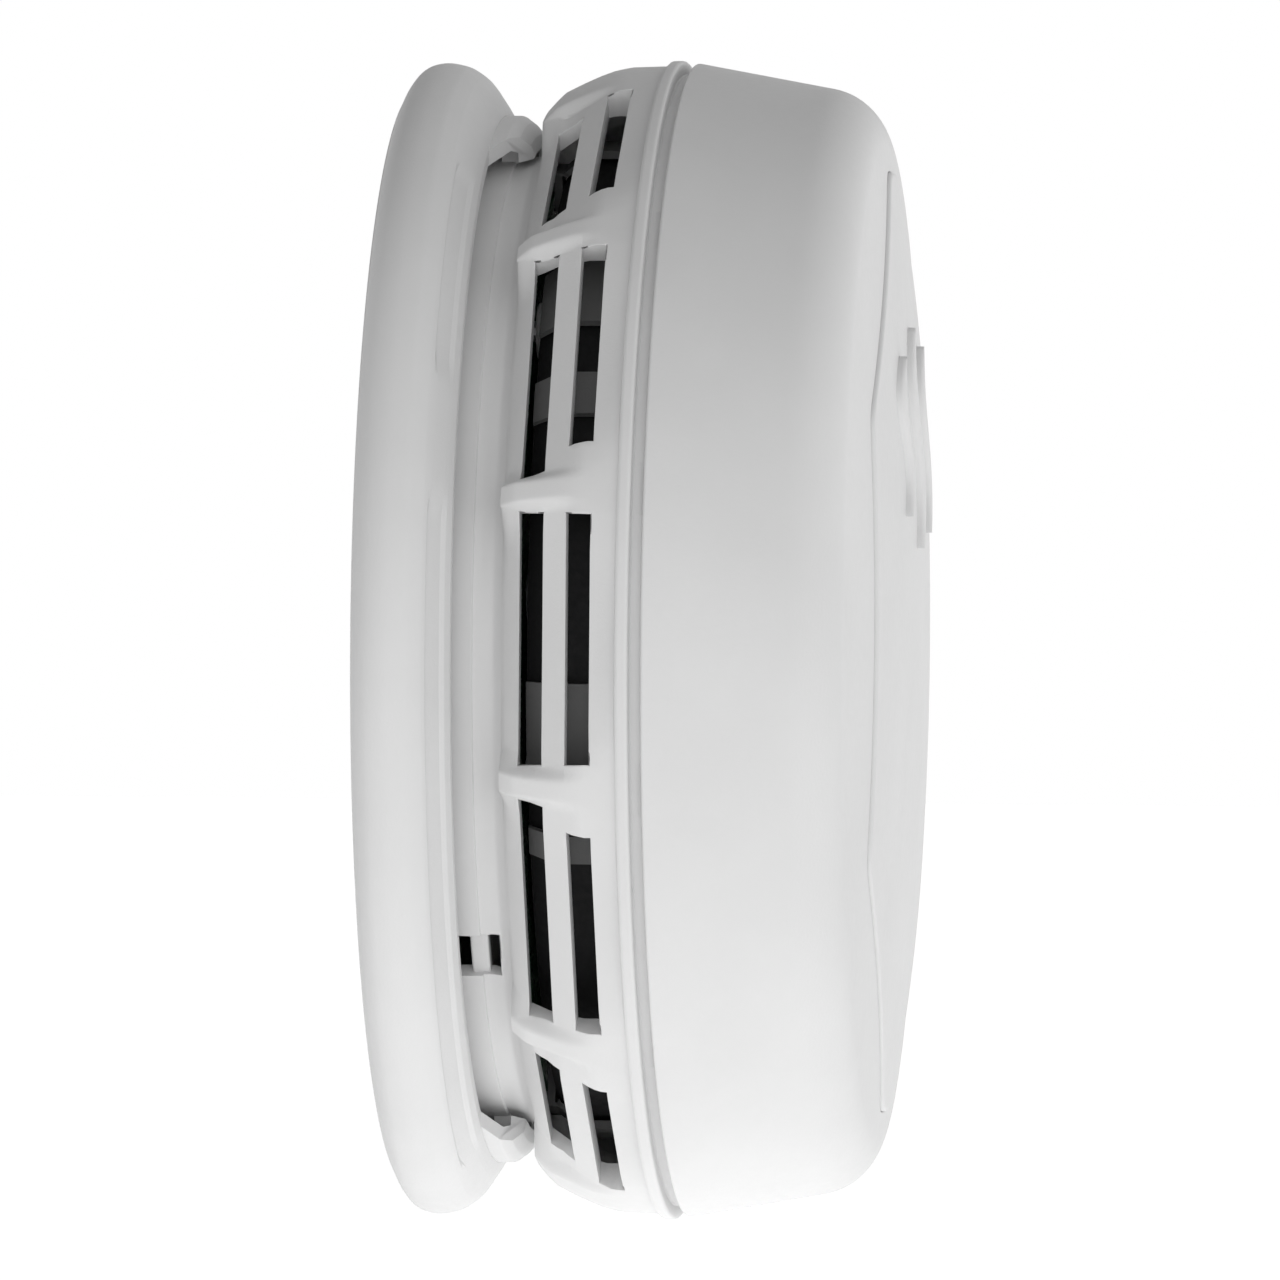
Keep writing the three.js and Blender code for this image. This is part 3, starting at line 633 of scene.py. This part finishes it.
# ---- rear housing ----
# Depth and distance from the axis: the middle of a facet, the round limit on its corners, and a rib's crest.
FACET_LINE = [(15, 58.9), (16.4, 59.4), (17.4, 60.5), (19.8, 63.5), (21.3, 64.5), (22.8, 65.8), (27.2, 68.5),
              (31.5, 69.5)]
FACET_LIMIT = [(15, 59.2), (16.6, 59.6), (17.4, 60.6), (18.2, 63.8), (19.8, 66.5), (21.5, 68), (24.5, 69.3),
               (27.1, 70.2), (31.5, 70.35)]
RIB_LINE = [(17.4, 65.3), (18.2, 66.2), (19.2, 67.2), (21.2, 68.2), (23.2, 69.1), (25.1, 69.8), (27.1, 70.2),
            (31.5, 70.35)]
ROOM_LINE = [(15, 57.2), (16, 57.2), (17.4, 58.3), (19.8, 61.2), (22.8, 63.5), (26.5, 64.8), (31.5, 64.8)]
RIB_BACK = 17.4
# Distances from a rib's middle where its crest ends and where it has run out into the facet.
RIB_HALF_THICKNESS = 1.0
RIB_BLEND = 2.6
RIB_COLUMNS = 9
ROOM_RADIUS = 57.2
CORNER_WALL = 1.8
FLOOR_WALL = 2
SPIGOT_BORE = 66
SLOT_EDGE = 0.16
# Distances along a facet from its middle. Slots and windows start and end on these.
FACE_COLUMNS = (-14.9, -12.5, -10.6, -8.2, -4.4, -1.5, 1.5, 4.4, 7, 10.6, 12.5, 13.4, 14.9)
SLOT_ROWS = ((19.8, 22.8), (25.7, 28.7))
# Where each row's slot starts and ends on a facet, by the facet's place from the left or right side. The
# facets at the top and bottom are solid and round.
SLOT_SPANS = (((-14.9, 14.9), (-14.9, 14.9)), ((-14.9, 14.9), (-12.5, 14.9)), ((-10.6, 12.5), (-10.6, 14.9)))
WINDOW_ROWS = (10.6, 16)
LATCH_ROWS = (12.4, 14.6)
LATCH_HALF_ANGLE = 4.4
LUG_HALF_ANGLE = 12
HOUSING_SCREW_HOLE = 1.6
HOUSING_SCREW_HOLE_END = 9
WINDOW_FACETS = (1, 7)
WINDOW_SPAN = (7, 13.4)
VENT_DEPTHS = (16, 16.5, 17, 17.28, 17.36, 17.46, 17.6, 17.9, 18.3, 18.8, 19.3, 19.8, 20.5, 21.3, 22.1, 22.8,
               23.4, 24.1, 24.9, 25.7, 26.4, 27.2, 28, 28.7, 29.3, 29.9, 30.5, 31.1, 31.7)


def place_from_side(facet):
    """How many facets from the left or right side, and 1 or -1 where the order runs backwards."""
    place = facet % (FACETS // 2)
    return (FACETS // 2 - place, -1) if place > FACETS // 4 else (place, 1)


def is_open(facet, start, end, depth):
    """Whether a slot or a window opens the wall between two distances along a facet, at a depth."""
    place, lean = place_from_side(facet)
    if lean < 0:
        start, end = -end, -start
    if place < len(SLOT_SPANS):
        for (low, high), (first, last) in zip(SLOT_ROWS, SLOT_SPANS[place]):
            if low < depth < high and first <= start and end <= last:
                return True
    first, last = WINDOW_SPAN
    in_window = facet in WINDOW_FACETS and first <= start and end <= last
    return in_window and WINDOW_ROWS[0] < depth < WINDOW_ROWS[1]


def soft_min(a, b, width=0.7):
    overlap = max(width - abs(a - b), 0) / width
    return min(a, b) - overlap * overlap * width / 4


def vent_radius(facet, local, depth):
    """Radius of the vent ring's outside, at an angle from the middle of a facet."""
    face = along(FACET_LINE, depth) / math.cos(local)
    base = soft_min(face, along(FACET_LIMIT, depth))
    from_rib = (FACET_ANGLE / 2 - abs(local)) * base
    rise = max(along(RIB_LINE, depth) - base, 0) * smooth_step(RIB_BACK - 0.03, RIB_BACK + 0.05, depth)
    if place_from_side(facet)[0] == len(SLOT_SPANS):
        return base + rise
    return base + rise * (1 - smooth_step(RIB_HALF_THICKNESS, RIB_BLEND, from_rib))


def room_radius(facet, local, depth):
    face = along(ROOM_LINE, depth) / math.cos(local)
    return soft_min(face, max(along(FACET_LIMIT, depth) - CORNER_WALL, ROOM_RADIUS))


def facet_columns():
    """One tuple for each column of vertices round the housing.

    It holds the facet, the distance along its face (None on a rib), the side of the facet that the rib is on,
    and the part of the way to the rib's middle.
    """
    columns = []
    for facet in range(FACETS):
        columns += [(facet, None, -1, 1 - k / RIB_COLUMNS) for k in range(RIB_COLUMNS)]
        columns += [(facet, along_face, 0, 0) for along_face in FACE_COLUMNS]
        columns += [(facet, None, 1, (k + 1) / RIB_COLUMNS) for k in range(RIB_COLUMNS - 1)]
    return columns


def column_angle(column, distance):
    """Angle from the facet's middle."""
    facet, along_face, side, part = column
    if along_face is not None:
        return math.atan(along_face / distance)
    return side * mix(math.atan(FACE_COLUMNS[-1] / distance), FACET_ANGLE / 2, part)


def housing_row(bm, columns, radius, depth, line):
    """One row of vertices. radius may be a function of facet, angle from its middle and depth."""
    row = []
    for column in columns:
        local = column_angle(column, along(line, depth))
        r = radius(column[0], local, depth) if callable(radius) else radius
        row.append(bm.verts.new(at(r, math.pi + column[0] * FACET_ANGLE + local, depth)))
    return row


def rear_housing():
    bm = bmesh.new()
    columns = facet_columns()
    neck = [(58, FLOOR), (59, 6.3), (59.5, 7.2), (59.5, 9), (59.5, 10.6), (59.5, 12.5), (59.5, 13.62),
            (59.42, 13.72), (59.2, 13.8), (59.2, 14.5), (59.2, 15)]
    lip = [(70.4, 31.82), (70.8, 31.88), (70.96, 32.05), (71, 32.3), (71, 32.95), (70.96, 33.2),
           (70.8, 33.36), (70.5, 33.42), (69.35, 33.45), (69.2, 33.6), (69.2, 34.72), (69.1, 34.85),
           (68.3, 34.87), (68.2, 34.95), (68.2, SPIGOT_TOP - 0.3), (67.9, SPIGOT_TOP)]
    outer = [housing_row(bm, columns, r, s, FACET_LINE) for r, s in neck]
    outer += [housing_row(bm, columns, vent_radius, s, FACET_LINE) for s in VENT_DEPTHS]
    outer += [housing_row(bm, columns, r, s, FACET_LINE) for r, s in lip]
    inner = []
    for i, (r, s) in enumerate(neck):
        # rows that would lie in the floor are stacked closely just in front of it
        inner.append(housing_row(bm, columns, ROOM_RADIUS, max(s, FLOOR + FLOOR_WALL + 0.1 * i), ROOM_LINE))
    inner += [housing_row(bm, columns, room_radius, s, ROOM_LINE) for s in VENT_DEPTHS]
    inner += [housing_row(bm, columns, SPIGOT_BORE, s, ROOM_LINE) for r, s in lip]
    depths = [s for r, s in neck] + list(VENT_DEPTHS) + [s for r, s in lip]
    removed = set()
    for i, (low, high) in enumerate(zip(depths, depths[1:])):
        for j, (facet, start, side, part) in enumerate(columns):
            if start is None or start == FACE_COLUMNS[-1]:
                continue
            if is_open(facet, start, columns[j + 1][1], (low + high) / 2):
                removed.add((i, j))
    rims = pierced(bm, outer, inner, removed)
    grid_mesh(bm, [outer[-1], inner[-1]])
    fan(bm, outer[0], FLOOR)
    fan(bm, inner[0], FLOOR + FLOOR_WALL)
    soften_edges(bm, rims, SLOT_EDGE)
    for middle in (math.pi / 2, -math.pi / 2):
        lug = rounded([(58.5, 11.9, 0), (61.8, 11.9, 0.3), (61.8, 13.9, 0.3), (58.5, 13.9, 0)])
        swept(bm, lug, middle, math.radians(LUG_HALF_ANGLE))
    latch = rounded([(56.8, LATCH_ROWS[0], 0.2), (58.7, LATCH_ROWS[0], 0.3), (58.7, LATCH_ROWS[1], 0.3),
                     (56.8, LATCH_ROWS[1], 0.2)])
    window_middle = sum(WINDOW_SPAN) / 2 / FACET_LINE[0][1]
    for facet in WINDOW_FACETS:
        middle = math.pi + facet * FACET_ANGLE + window_middle
        swept(bm, latch, middle, math.radians(LATCH_HALF_ANGLE))
    for kind in ("board_screw", "cover_screw"):
        for index in (1, 2, 3):
            post(bm, f"{kind}_{index}", FLOOR + 1.9, BOARD_BACK - 0.3, HOUSING_SCREW_HOLE,
                 HOUSING_SCREW_HOLE_END)
    return finished(bm, "rear_housing_shell", WHITE, "alarm", "rear_housing", smooth_angle=38,
                    slot="white_plastic")


# ---- screen behind the slots, and the frame that holds it: black and grey pieces that paint the shade inside the vents ----
# The posts stand where shaded white walls show through the slots, and their grey is painted shade.
# Degrees from +X: the spans of the frame's posts, and the middles of its feet.
SCREEN_POSTS = ((132.8, 142.2), (149.1, 154.3), (184.9, 194.5), (202.2, 205.5))
SCREEN_FEET = (15, 105, 255)
# The screen flares out from its foot over this height, by this much.
FLARE_HEIGHT = 3.4
FLARE = 2.6
SCREEN_WALL = 0.6
MESH_COLUMNS = 840
MESH_PITCH = 0.45
MESH_DEPTH = 0.15
HOOP_BORE = 61.2
HOOP_RADIUS = 62.2
HOOP_BACK = 31.5
HOOP_FRONT = 35.7
FOOT_HALF_ANGLE = 2.5 / 60
# Radius, depth and fillet of each corner of a post's and a foot's outline.
POST_LINE = ((58.6, 20.2, 0), (59.4, 20.2, 0.15), (HOOP_RADIUS, 23.6, 0.6), (HOOP_RADIUS, HOOP_BACK + 0.1, 0),
             (HOOP_BORE, HOOP_BACK + 0.1, 0), (HOOP_BORE, 23.5, 0.6))
FOOT_LINE = ((54.5, 18.9, 0.15), (59.4, 18.9, 0.15), (59.4, 20.6, 0), (59, 20.6, 0), (59, 19.85, 0.1),
             (54.5, 19.85, 0.15))


def vent_screen():
    low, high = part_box("vent_screen")
    radius, back, front = high.x / MM, -high.y / MM, -low.y / MM
    bm = bmesh.new()
    angles = full_turn(MESH_COLUMNS)
    bend = back + FLARE_HEIGHT
    line = [(radius - FLARE, back), (radius - FLARE / 2, back + FLARE_HEIGHT / 2), (radius, bend)]
    count = round((front - bend) / MESH_PITCH)
    line += [(radius, mix(bend, front, (k + 1) / count)) for k in range(count)]
    rows = []
    for i, (r, s) in enumerate(line):
        # every second vertex is set back, like the holes between wires
        radii = [r - MESH_DEPTH * ((i + j) % 2) for j in range(MESH_COLUMNS)]
        rows.append([bm.verts.new(at(r, angle, s)) for r, angle in zip(radii, angles)])
    bore = radius - SCREEN_WALL
    rows += [ring(bm, r, s, angles) for r, s in ((bore, front), (bore, bend), (bore - FLARE, back))]
    grid_mesh(bm, rows, close_rows=True)
    # Black, so the screen paints the shade seen through the slots.
    return finished(bm, "vent_screen_painted_shade", BLACK, "alarm", "vent_screen", slot="black_plastic")


def screen_frame():
    bm = bmesh.new()
    hoop = rounded([(HOOP_BORE, HOOP_BACK, 0.2), (HOOP_RADIUS, HOOP_BACK, 0.2),
                    (HOOP_RADIUS, HOOP_FRONT, 0.2), (HOOP_BORE, HOOP_FRONT, 0.2)])
    grid_mesh(bm, [ring(bm, r, s, full_turn()) for r, s in hoop], close_rows=True)
    wall = rounded(POST_LINE)
    for start, end in SCREEN_POSTS:
        swept(bm, wall, math.radians((start + end) / 2), math.radians((end - start) / 2))
    foot = rounded(FOOT_LINE)
    for angle in SCREEN_FEET:
        swept(bm, wall, math.radians(angle), FOOT_HALF_ANGLE, steps=4)
        swept(bm, foot, math.radians(angle), FOOT_HALF_ANGLE, steps=4)
    # Grey, so the posts and hoop paint the shade on the white walls inside the vents.
    return finished(bm, "screen_frame_painted_shade", GREY, "alarm", "screen_frame", slot="grey_plastic")


# ---- wall bracket ----
PLATE = 2
PLATE_RADIUS = 52
COLLAR_INNER = 62.3
COLLAR_OUTER = 64.3
COLLAR_TOP = 11.6
# Radius, depth and fillet of each corner from collar to rim: with its recess, and with the recess filled.
RECESSED_BAND = ((63.3, COLLAR_TOP, 0), (COLLAR_OUTER, COLLAR_TOP, 0.3), (65.3, 11.05, 0.3),
                 (65.75, 10.45, 0.25), (67.9, 8.95, 0.4), (68.3, 9.12, 0.2), (68.75, 8.75, 0))
FLUSH_BAND = ((63.3, COLLAR_TOP, 0), (COLLAR_OUTER, COLLAR_TOP, 0.3), (65.3, 11.1, 0.3), (65.9, 10.75, 0.25),
              (67.8, 9.5, 0.4), (68.3, 9.12, 0.2), (68.75, 8.75, 0))
# Degrees from the -X side towards +Z, and how far the step between rim and collar is filled there.
STEP_FILL = ((-90, 1), (-71, 1), (-68, 0), (12.5, 0), (15.5, 1), (27.5, 1), (30.5, 0), (55.5, 0), (58.5, 1),
             (90, 1))
# Points that the rim's rolled edge runs through, as (radius, depth).
RIM_ROLL = ((68.85, 8.64), (69.5, 7.8), (70.2, 6.5), (70.6, 4.2), (70.1, 2.2), (68.7, 0.9), (66.9, 0.1))
# Radii of the plate's rows. The windows and slots start and end on them.
PLATE_RADII = (12, 18, 25, 32, 39, 44, 50, PLATE_RADIUS)
# Inner and outer radius, and degrees from upright: the windows lie within them, the slots past them.
WIRE_WINDOW = (18, 50, 48)
SCREW_SLOT = (39, 44, 81)
PLATE_EDGE = 0.3
# A claw's outline as radius, depth and fillet, and half its angle at the collar and at its tip.
CLAW_LINE = ((64.2, 10.6, 0), (64.2, 13.4, 0.8), (63.3, 14.6, 0.8), (61.9, 15.7, 0.8), (60.2, 16.3, 0.35),
             (60.2, 14.4, 0.25), (61.5, 14.4, 0.3), (62.32, 13.7, 0.3), (62.32, 10.6, 0))
CLAW_HALF_ANGLES = (25, 14)


def step_fill(angle):
    """1 where the step between rim and collar is filled flush, 0 where it shows. The same on both sides."""
    height = math.degrees(math.asin(max(-1, min(1, math.sin(angle)))))
    return along(STEP_FILL, height)


def through(points, steps=5):
    """A smooth curve through the points: a Catmull-Rom spline."""

    def blend(a, b, c, d, t):
        bend = 2 * a - 5 * b + 4 * c - d
        twist = 3 * b - a - 3 * c + d
        return 0.5 * (2 * b + (c - a) * t + bend * t ** 2 + twist * t ** 3)

    path = []
    ends = [points[0], *points, points[-1]]
    for span in zip(ends, ends[1:], ends[2:], ends[3:]):
        for k in range(steps):
            path.append(tuple(blend(*values, k / steps) for values in zip(*span)))
    return [*path, points[-1]]


def claw_half_angle(depth):
    """A claw is widest at the collar and narrows towards its tip."""
    return math.radians(mix(*CLAW_HALF_ANGLES, smooth_step(CLAW_LINE[0][1], 15.8, depth)))


def mounting_bracket():
    bm = bmesh.new()
    angles = full_turn()
    front = rounded([(PLATE_RADIUS, PLATE, 0), (COLLAR_INNER, PLATE, 0.8), (COLLAR_INNER, COLLAR_TOP, 0.3),
                     (63.2, COLLAR_TOP, 0)], closed=False)
    bands = list(zip(rounded(RECESSED_BAND, closed=False), rounded(FLUSH_BAND, closed=False)))
    back = rounded([(66.9, 0.02, 0), (66.3, 0, 0.2), (66.3, 8, 0.8), (COLLAR_OUTER, 9.2, 0.5),
                    (COLLAR_OUTER, 0, 0.3), (PLATE_RADIUS, 0, 0)], closed=False)
    rows = [ring(bm, r, s, angles) for r, s in front]
    fills = [(angle, step_fill(angle)) for angle in angles]
    for (r0, s0), (r1, s1) in bands:
        rows.append([bm.verts.new(at(mix(r0, r1, fill), angle, mix(s0, s1, fill))) for angle, fill in fills])
    rows += [ring(bm, r, s, angles) for r, s in through(RIM_ROLL) + back]
    grid_mesh(bm, rows)
    faces = [[ring(bm, r, s, angles) for r in PLATE_RADII] for s in (PLATE, 0)]
    window_inner, window_outer, window_limit = WIRE_WINDOW
    slot_inner, slot_outer, slot_limit = SCREW_SLOT
    removed = set()
    for i, (low, high) in enumerate(zip(PLATE_RADII, PLATE_RADII[1:])):
        for j in range(ROUND):
            angle = math.degrees(math.tau * (j + 0.5) / ROUND)
            from_upright = abs(angle % 180 - 90)
            windowed = window_inner <= low and high <= window_outer and from_upright < window_limit
            slotted = slot_inner <= low and high <= slot_outer and from_upright > slot_limit
            if windowed or slotted:
                removed.add((i, j))
    rims = pierced(bm, *faces, removed)
    fan(bm, faces[0][0], PLATE)
    fan(bm, faces[1][0], 0)
    bmesh.ops.remove_doubles(bm, verts=bm.verts, dist=0.01 * MM)
    soften_edges(bm, [e for e in rims if e.is_valid], PLATE_EDGE)
    claw = rounded(CLAW_LINE)
    for middle in (math.pi / 2, -math.pi / 2):
        swept(bm, claw, middle, claw_half_angle, steps=32)
    return finished(bm, "mounting_bracket_shell", WHITE, "bracket", "mounting_bracket", smooth_angle=38,
                    slot="white_plastic")


# ---- battery drawer ----
DRAWER_FACE_BACK = 56.6
FACE_STEPS_ACROSS = 48
FACE_STEPS_UP = 24
FACE_EDGE = 0.3
GRIP_DEPTH = 3.2
# Half the scoop's width, and its height above the drawer's back: where it starts to fade and where it ends.
GRIP_HALF_WIDTHS = (5, 11)
GRIP_HEIGHTS = (2.5, 8)
# The tray's walls. They reach into the face by TRAY_LAP.
TRAY_FLOOR = 0.7
TRAY_SIDE = 1.2
TRAY_END = 1.4
TRAY_SIDES_Z = (-26.3, 26)
TRAY_END_LOW_Z = -23
TRAY_WALL_TOP = 52
TRAY_LIP_TOP = 41
TRAY_LAP = 0.3
TRAY_EDGE = 0.2


def grip_depth(z, depth, low):
    """How far the finger scoop is pressed into the drawer's face."""
    across = 1 - smooth_step(*GRIP_HALF_WIDTHS, abs(z))
    start, end = GRIP_HEIGHTS
    return GRIP_DEPTH * across * (1 - smooth_step(low + start, low + end, depth))


def battery_drawer():
    low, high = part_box("battery_drawer")
    z0, z1, s0, s1 = low.z / MM, high.z / MM, -high.y / MM, -low.y / MM
    bm = bmesh.new()
    columns, rows = FACE_STEPS_ACROSS, FACE_STEPS_UP
    across = [mix(z0, z1, k / columns) for k in range(columns + 1)]
    up = [mix(s0, s1, k / rows) for k in range(rows + 1)]

    def face_vertex(z, s):
        x = math.sqrt(cover_radius_at(s) ** 2 - z * z) - grip_depth(z, s, s0)
        return bm.verts.new(Vector((x, -s, z)) * MM)

    front = [[face_vertex(z, s) for z in across] for s in up]
    rear = [[bm.verts.new(Vector((DRAWER_FACE_BACK, -s, z)) * MM) for z in across] for s in up]
    grid_mesh(bm, front, close_columns=False)
    grid_mesh(bm, rear, close_columns=False)
    border = [(0, j) for j in range(columns)] + [(i, columns) for i in range(rows)]
    border += [(rows, j) for j in range(columns, 0, -1)] + [(i, 0) for i in range(rows, 0, -1)]
    for (a, b), (c, d) in zip(border, border[1:] + border[:1]):
        bm.faces.new((front[a][b], front[c][d], rear[c][d], rear[a][b]))
    soften(bm, FACE_EDGE, angle=50)
    inner_x = low.x / MM
    outer_x = DRAWER_FACE_BACK + TRAY_LAP
    side_low, side_high = TRAY_SIDES_Z
    tray = [((inner_x, -s0 - TRAY_FLOOR, side_low), (outer_x, -s0, side_high)),
            ((inner_x, -TRAY_WALL_TOP, TRAY_END_LOW_Z), (inner_x + TRAY_END, -s0, side_high)),
            ((inner_x, -TRAY_WALL_TOP, side_high - TRAY_SIDE), (outer_x, -s0, side_high)),
            ((inner_x, -TRAY_LIP_TOP, side_low), (outer_x, -s0, side_low + TRAY_SIDE))]
    for corners in tray:
        wall = bmesh.new()
        box_mesh(wall, *corners)
        soften_edges(wall, wall.edges[:], TRAY_EDGE)
        mesh = bpy.data.meshes.new("wall")
        wall.to_mesh(mesh)
        bm.from_mesh(mesh)
        bpy.data.meshes.remove(mesh)
        wall.free()
    return finished(bm, "battery_drawer_tray", WHITE, "drawer", "battery_drawer", slot="white_plastic")


# ---- battery: a sleeve crimped over two end plates ----
BATTERY_CORNER = 2
SLEEVE_WALL = 0.45
# The sleeve's crimped end: inset from its outside, and distance in from the battery's end.
SLEEVE_END = ((SLEEVE_WALL + 0.35, 0.5), (SLEEVE_WALL, 0.42), (SLEEVE_WALL - 0.1, 0.05), (0.2, 0),
              (0.05, 0.15), (0, 0.4), (0, 1.1), (0.14, 1.3), (0.14, 1.7), (0, 1.9))


def battery_outline(half_width, half_depth, corner):
    """A rounded rectangle as (across, out from the wall) points about its middle."""
    points = []
    for quarter, (across, out) in enumerate(((1, 1), (-1, 1), (-1, -1), (1, -1))):
        centre = Vector((across * (half_width - corner), out * (half_depth - corner)))
        for k in range(9):
            angle = math.radians(90) * (quarter + k / 8)
            points.append(centre + corner * Vector((math.cos(angle), math.sin(angle))))
    return points


def battery():
    low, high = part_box("battery")
    middle, half = (low + high) / 2 / MM, (high - low) / 2 / MM
    bm = bmesh.new()
    profile = [(inset, half.z - drop) for inset, drop in SLEEVE_END]
    profile += [(0, half.z * 0.6), (0, half.z * 0.2)]
    profile += [(inset, -z) for inset, z in reversed(profile)]
    rows = []
    for inset, z in profile:
        outline = battery_outline(half.x - inset, half.y - inset, BATTERY_CORNER - inset)
        rows.append([bm.verts.new((middle + Vector((p.x, p.y, z))) * MM) for p in outline])
    grid_mesh(bm, rows)
    bm.faces.new(rows[0])
    bm.faces.new(rows[-1])
    return finished(bm, "battery_case", BATTERY_SLEEVE, "drawer", "battery", slot="battery_sleeve")


# ---- stage: pale floor, soft light ----
FLOOR_REACH = 6
FLOOR_DROP = 0.012
FLOOR_GLOW = 0.72
SKY_AT_HORIZON = 1.0
SKY_OVERHEAD = 0.2
SKY_BY_WALL = 0.25
# Where the sky starts and ends to fade, as parts of a direction: upwards, and towards the wall.
FADE_UP = (0.05, 1)
FADE_TO_WALL = (0.16, 0.6)
# name, place, size and power of each soft light
LIGHTS = (("front_low", (-0.5, -0.65, -0.3), 0.5, 0.5), ("side_fill", (-0.9, -0.15, -0.1), 0.6, 1.1))


def add_light(name, location, size, power):
    data = bpy.data.lights.new(name, "AREA")
    data.size = size
    data.energy = power
    light = bpy.data.objects.new(name, data)
    bpy.context.scene.collection.objects.link(light)
    light.location = location
    light.rotation_euler = (VIEW_CENTRE - Vector(location)).to_track_quat("-Z", "Y").to_euler()


def add_sky():
    """Soft light from all round. It fades overhead and towards the wall, behind the alarm."""
    world = bpy.data.worlds.new("studio")
    bpy.context.scene.world = world
    world.use_nodes = True
    nodes = world.node_tree.nodes
    links = world.node_tree.links
    place = nodes.new("ShaderNodeTexCoord")
    split = nodes.new("ShaderNodeSeparateXYZ")
    links.new(place.outputs["Generated"], split.inputs["Vector"])

    def fade(axis, start, end, share):
        node = nodes.new("ShaderNodeMapRange")
        node.inputs["From Min"].default_value = start
        node.inputs["From Max"].default_value = end
        node.inputs["To Min"].default_value = SKY_AT_HORIZON
        node.inputs["To Max"].default_value = share
        links.new(split.outputs[axis], node.inputs["Value"])
        return node.outputs["Result"]

    both = nodes.new("ShaderNodeMath")
    both.operation = "MULTIPLY"
    links.new(fade("Z", *FADE_UP, SKY_OVERHEAD), both.inputs[0])
    links.new(fade("Y", *FADE_TO_WALL, SKY_BY_WALL), both.inputs[1])
    background = nodes["Background"]
    background.inputs["Color"].default_value = (1, 1, 1, 1)
    links.new(both.outputs["Value"], background.inputs["Strength"])


def add_floor():
    level = cad_box[0].z - FLOOR_DROP
    bm = bmesh.new()
    corners = ((-1, -1), (1, -1), (1, 1), (-1, 1))
    bm.faces.new([bm.verts.new((x * FLOOR_REACH, y * FLOOR_REACH, level)) for x, y in corners])
    mesh = bpy.data.meshes.new("floor")
    bm.to_mesh(mesh)
    bm.free()
    floor = bpy.data.objects.new("floor", mesh)
    bpy.context.scene.collection.objects.link(floor)
    paper = moulded_plastic("floor_paper", (0.85, 0.85, 0.85), 0.9, grain=0.1)
    shader = paper.node_tree.nodes["Principled BSDF"]
    shader.inputs["Emission Color"].default_value = (1, 1, 1, 1)
    shader.inputs["Emission Strength"].default_value = FLOOR_GLOW
    mesh.materials.append(paper)


def add_stage():
    add_floor()
    add_sky()
    for light in LIGHTS:
        add_light(*light)
    bpy.context.scene.view_settings.view_transform = "Standard"


mounting_bracket()
rear_housing()
vent_screen()
screen_frame()
front_cover()
test_button()
emblem()
battery_drawer()
battery()
add_stage()
